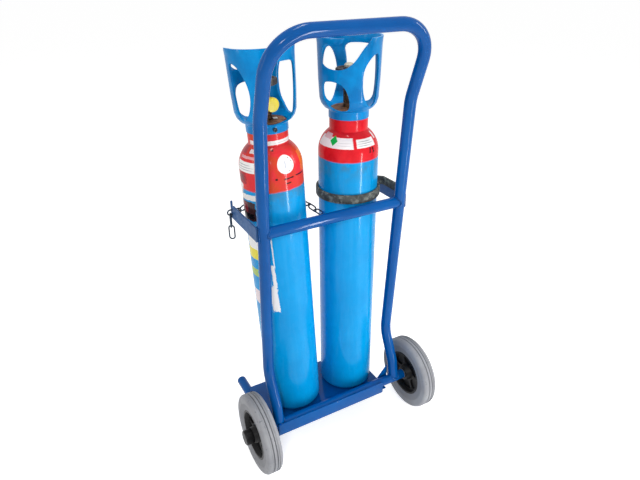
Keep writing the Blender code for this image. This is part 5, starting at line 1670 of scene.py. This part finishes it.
@dataclass
class RetainingChain:
    """The chain round the left cylinder, and the two spare links that hang from its end."""

    centre: tuple[float, float] = (-0.103666, 0.115514)
    ring: float = 0.0798
    wire_r: float = 0.00175
    pitch: float = 0.030
    bend_r: float = 0.00625
    level: float = 0.6265
    bite: float = 0.00045
    slack: float = 0.00015
    hang_deg: float = -29.0
    start: tuple[float, float] = (-0.020, 0.044621)
    end: tuple[float, float] = (-0.2024755, 0.158343)

    def link(self, reach: float) -> bmesh.types.BMesh:
        """One oval link, long along X.

        Args:
            reach: From its middle to the end of the wire's middle line.

        Returns:
            A new bmesh of the link.
        """
        straight = reach - self.bend_r
        line = []
        for side, first in ((1, -90), (-1, 90)):
            bend = arc((side * straight, 0), self.bend_r, first, first + 180, 10)
            line += [Vector((x, y, 0)) for x, y in bend]
        return tube(line, self.wire_r, cyclic=True, detail=4)

    def route(self) -> list[Vector]:
        """The line of the pivots in plan: from the lug, round the cylinder, to the notch.

        Returns:
            The line's points.
        """
        middle = Vector(self.centre)
        start, end = Vector(self.start), Vector(self.end) + Vector((self.pitch, 0))
        first, last = touch(middle, self.ring, start, 1), touch(middle, self.ring, end, -1)
        last += math.tau * (last < first)
        line = [start]
        for step in range(61):
            turn = first + (last - first) * step / 60
            line.append(middle + self.ring * Vector((math.cos(turn), math.sin(turn))))
        return [*line, end]

    def build(self) -> None:
        """Build the links round the cylinder as one piece, and the two that swing."""
        route = self.route()
        length = sum((b - a).length for a, b in zip(route, route[1:]))
        count = 2 * round((length / self.pitch - 1) / 2) + 1
        pivots = [walk(route, length * index / count) for index in range(count + 1)] + [Vector(self.end)]
        links = []
        for index, (behind, ahead) in enumerate(zip(pivots, pivots[1:])):
            middle, run = (behind + ahead) / 2, ahead - behind
            link = self.link(run.length / 2 + self.wire_r - self.bite)
            place = Matrix.Translation((middle.x, middle.y, self.level)) @ Matrix.Rotation(
                math.atan2(run.y, run.x), 4, "Z") @ Matrix.Rotation(math.pi / 2 * (index % 2), 4, "X")
            bmesh.ops.transform(link, matrix=place, verts=link.verts)
            links.append(link)
        make_piece("chain_run", merged(links), HOME, CHAIN_STEEL, "frame", ["retaining_chain"])
        half = self.pitch / 2 + self.wire_r + self.slack
        x = self.end[0] - (self.wire_r - self.bite) + self.bend_r
        top = self.level - self.bend_r + 2 * self.wire_r + CLEARANCE
        for index in range(2):
            middle = Matrix.Translation((x, self.end[1], top - half - index * self.pitch))
            upright = Matrix.Rotation(math.pi / 2, 4, "Y")
            place = HOME @ middle @ spin(90 * (index % 2) + self.hang_deg) @ upright
            tail = f"tail_link_{index + 1}"
            make_piece(f"spare_link_{index + 1}", self.link(half), place, CHAIN_STEEL, tail, [tail])


@dataclass
class RetainingBand:
    """The worn rubber band that holds the right cylinder back to its arm."""

    centre: tuple[float, float] = (0.0822, 0.104671)
    ring: float = 0.07355
    thick: float = 0.0055
    half_height: float = 0.0105
    level: float = 0.6490
    opening_deg: float = 14.0
    start: tuple[float, float] = (0.1857, 0.03429)

    def line(self) -> list[Vector]:
        """The band's middle in plan.

        Returns:
            The line's points.
        """
        middle = Vector(self.centre)
        corner = Vector((self.start[0], self.centre[1]))
        lead = touch(middle, self.ring, corner, 1)
        sweep = math.tau - math.radians(self.opening_deg)
        points = [Vector(self.start), corner]
        for step in range(101):
            turn = lead + sweep * step / 100
            points.append(middle + self.ring * Vector((math.cos(turn), math.sin(turn))))
        return points

    def build(self) -> None:
        """Thicken the line to both sides and raise it to the band's height."""
        points = self.line()
        left, right = [], []
        for index, point in enumerate(points):
            run = points[min(index + 1, len(points) - 1)] - points[max(index - 1, 0)]
            across = Vector((-run.y, run.x)).normalized() * self.thick / 2
            left.append(tuple(point + across))
            right.append(tuple(point - across))
        low, high = self.level - self.half_height, self.level + self.half_height
        mesh = cut(plate(left + right[::-1], low, high), [], 0.0014)
        mesh.transform(HOME)
        settle("rubber_band", mesh, WORN_RUBBER, "frame", ["retaining_band"], sharp_deg=50)


@dataclass
class Trolley:
    """The whole trolley with the two cylinders on it."""

    def cylinders(self) -> list[GasCylinder]:
        """The two gas cylinders, each with its own lean, marks, guard and outlet.

        Returns:
            The left and the right one.
        """
        left = GasCylinder(
            side=Side.LEFT, base=(-0.0822, 0.104671, 0.078357), axis=(-0.039162, 0.019781, 0.999037),
            drop=0.008, boundary_mm=620.5, shoulder=("#DE3138", "#CF4428"), marks=LEFT_MARKS,
            ring_marks=LEFT_RING_MARKS, guard_turns=(-112.4, 19.5), windows=LEFT_WINDOWS, outlet_deg=-85.0)
        right = GasCylinder(
            side=Side.RIGHT, base=(0.0822, 0.104671, 0.0759), axis=(0.0, 0.0, 1.0), drop=0.0,
            boundary_mm=658.5, shoulder=("#E0202B", "#D01824"), marks=RIGHT_MARKS, ring_marks=(),
            guard_turns=(-121.8, 150.0), windows=RIGHT_WINDOWS, outlet_deg=-100.0)
        return [left, right]

    def build(self) -> None:
        """Build every sub-assembly in turn."""
        TubeFrame().build()
        Undercarriage().build()
        for side in Side:
            Wheel(side).build()
        for cylinder in self.cylinders():
            cylinder.build()
        RetainingChain().build()
        RetainingBand().build()


def main() -> None:
    """Build everything in order and report each piece."""
    logging.basicConfig(level=logging.INFO, format="%(name)s: %(message)s")
    Studio().build()
    Trolley().build()


if __name__ == "__main__":
    main()
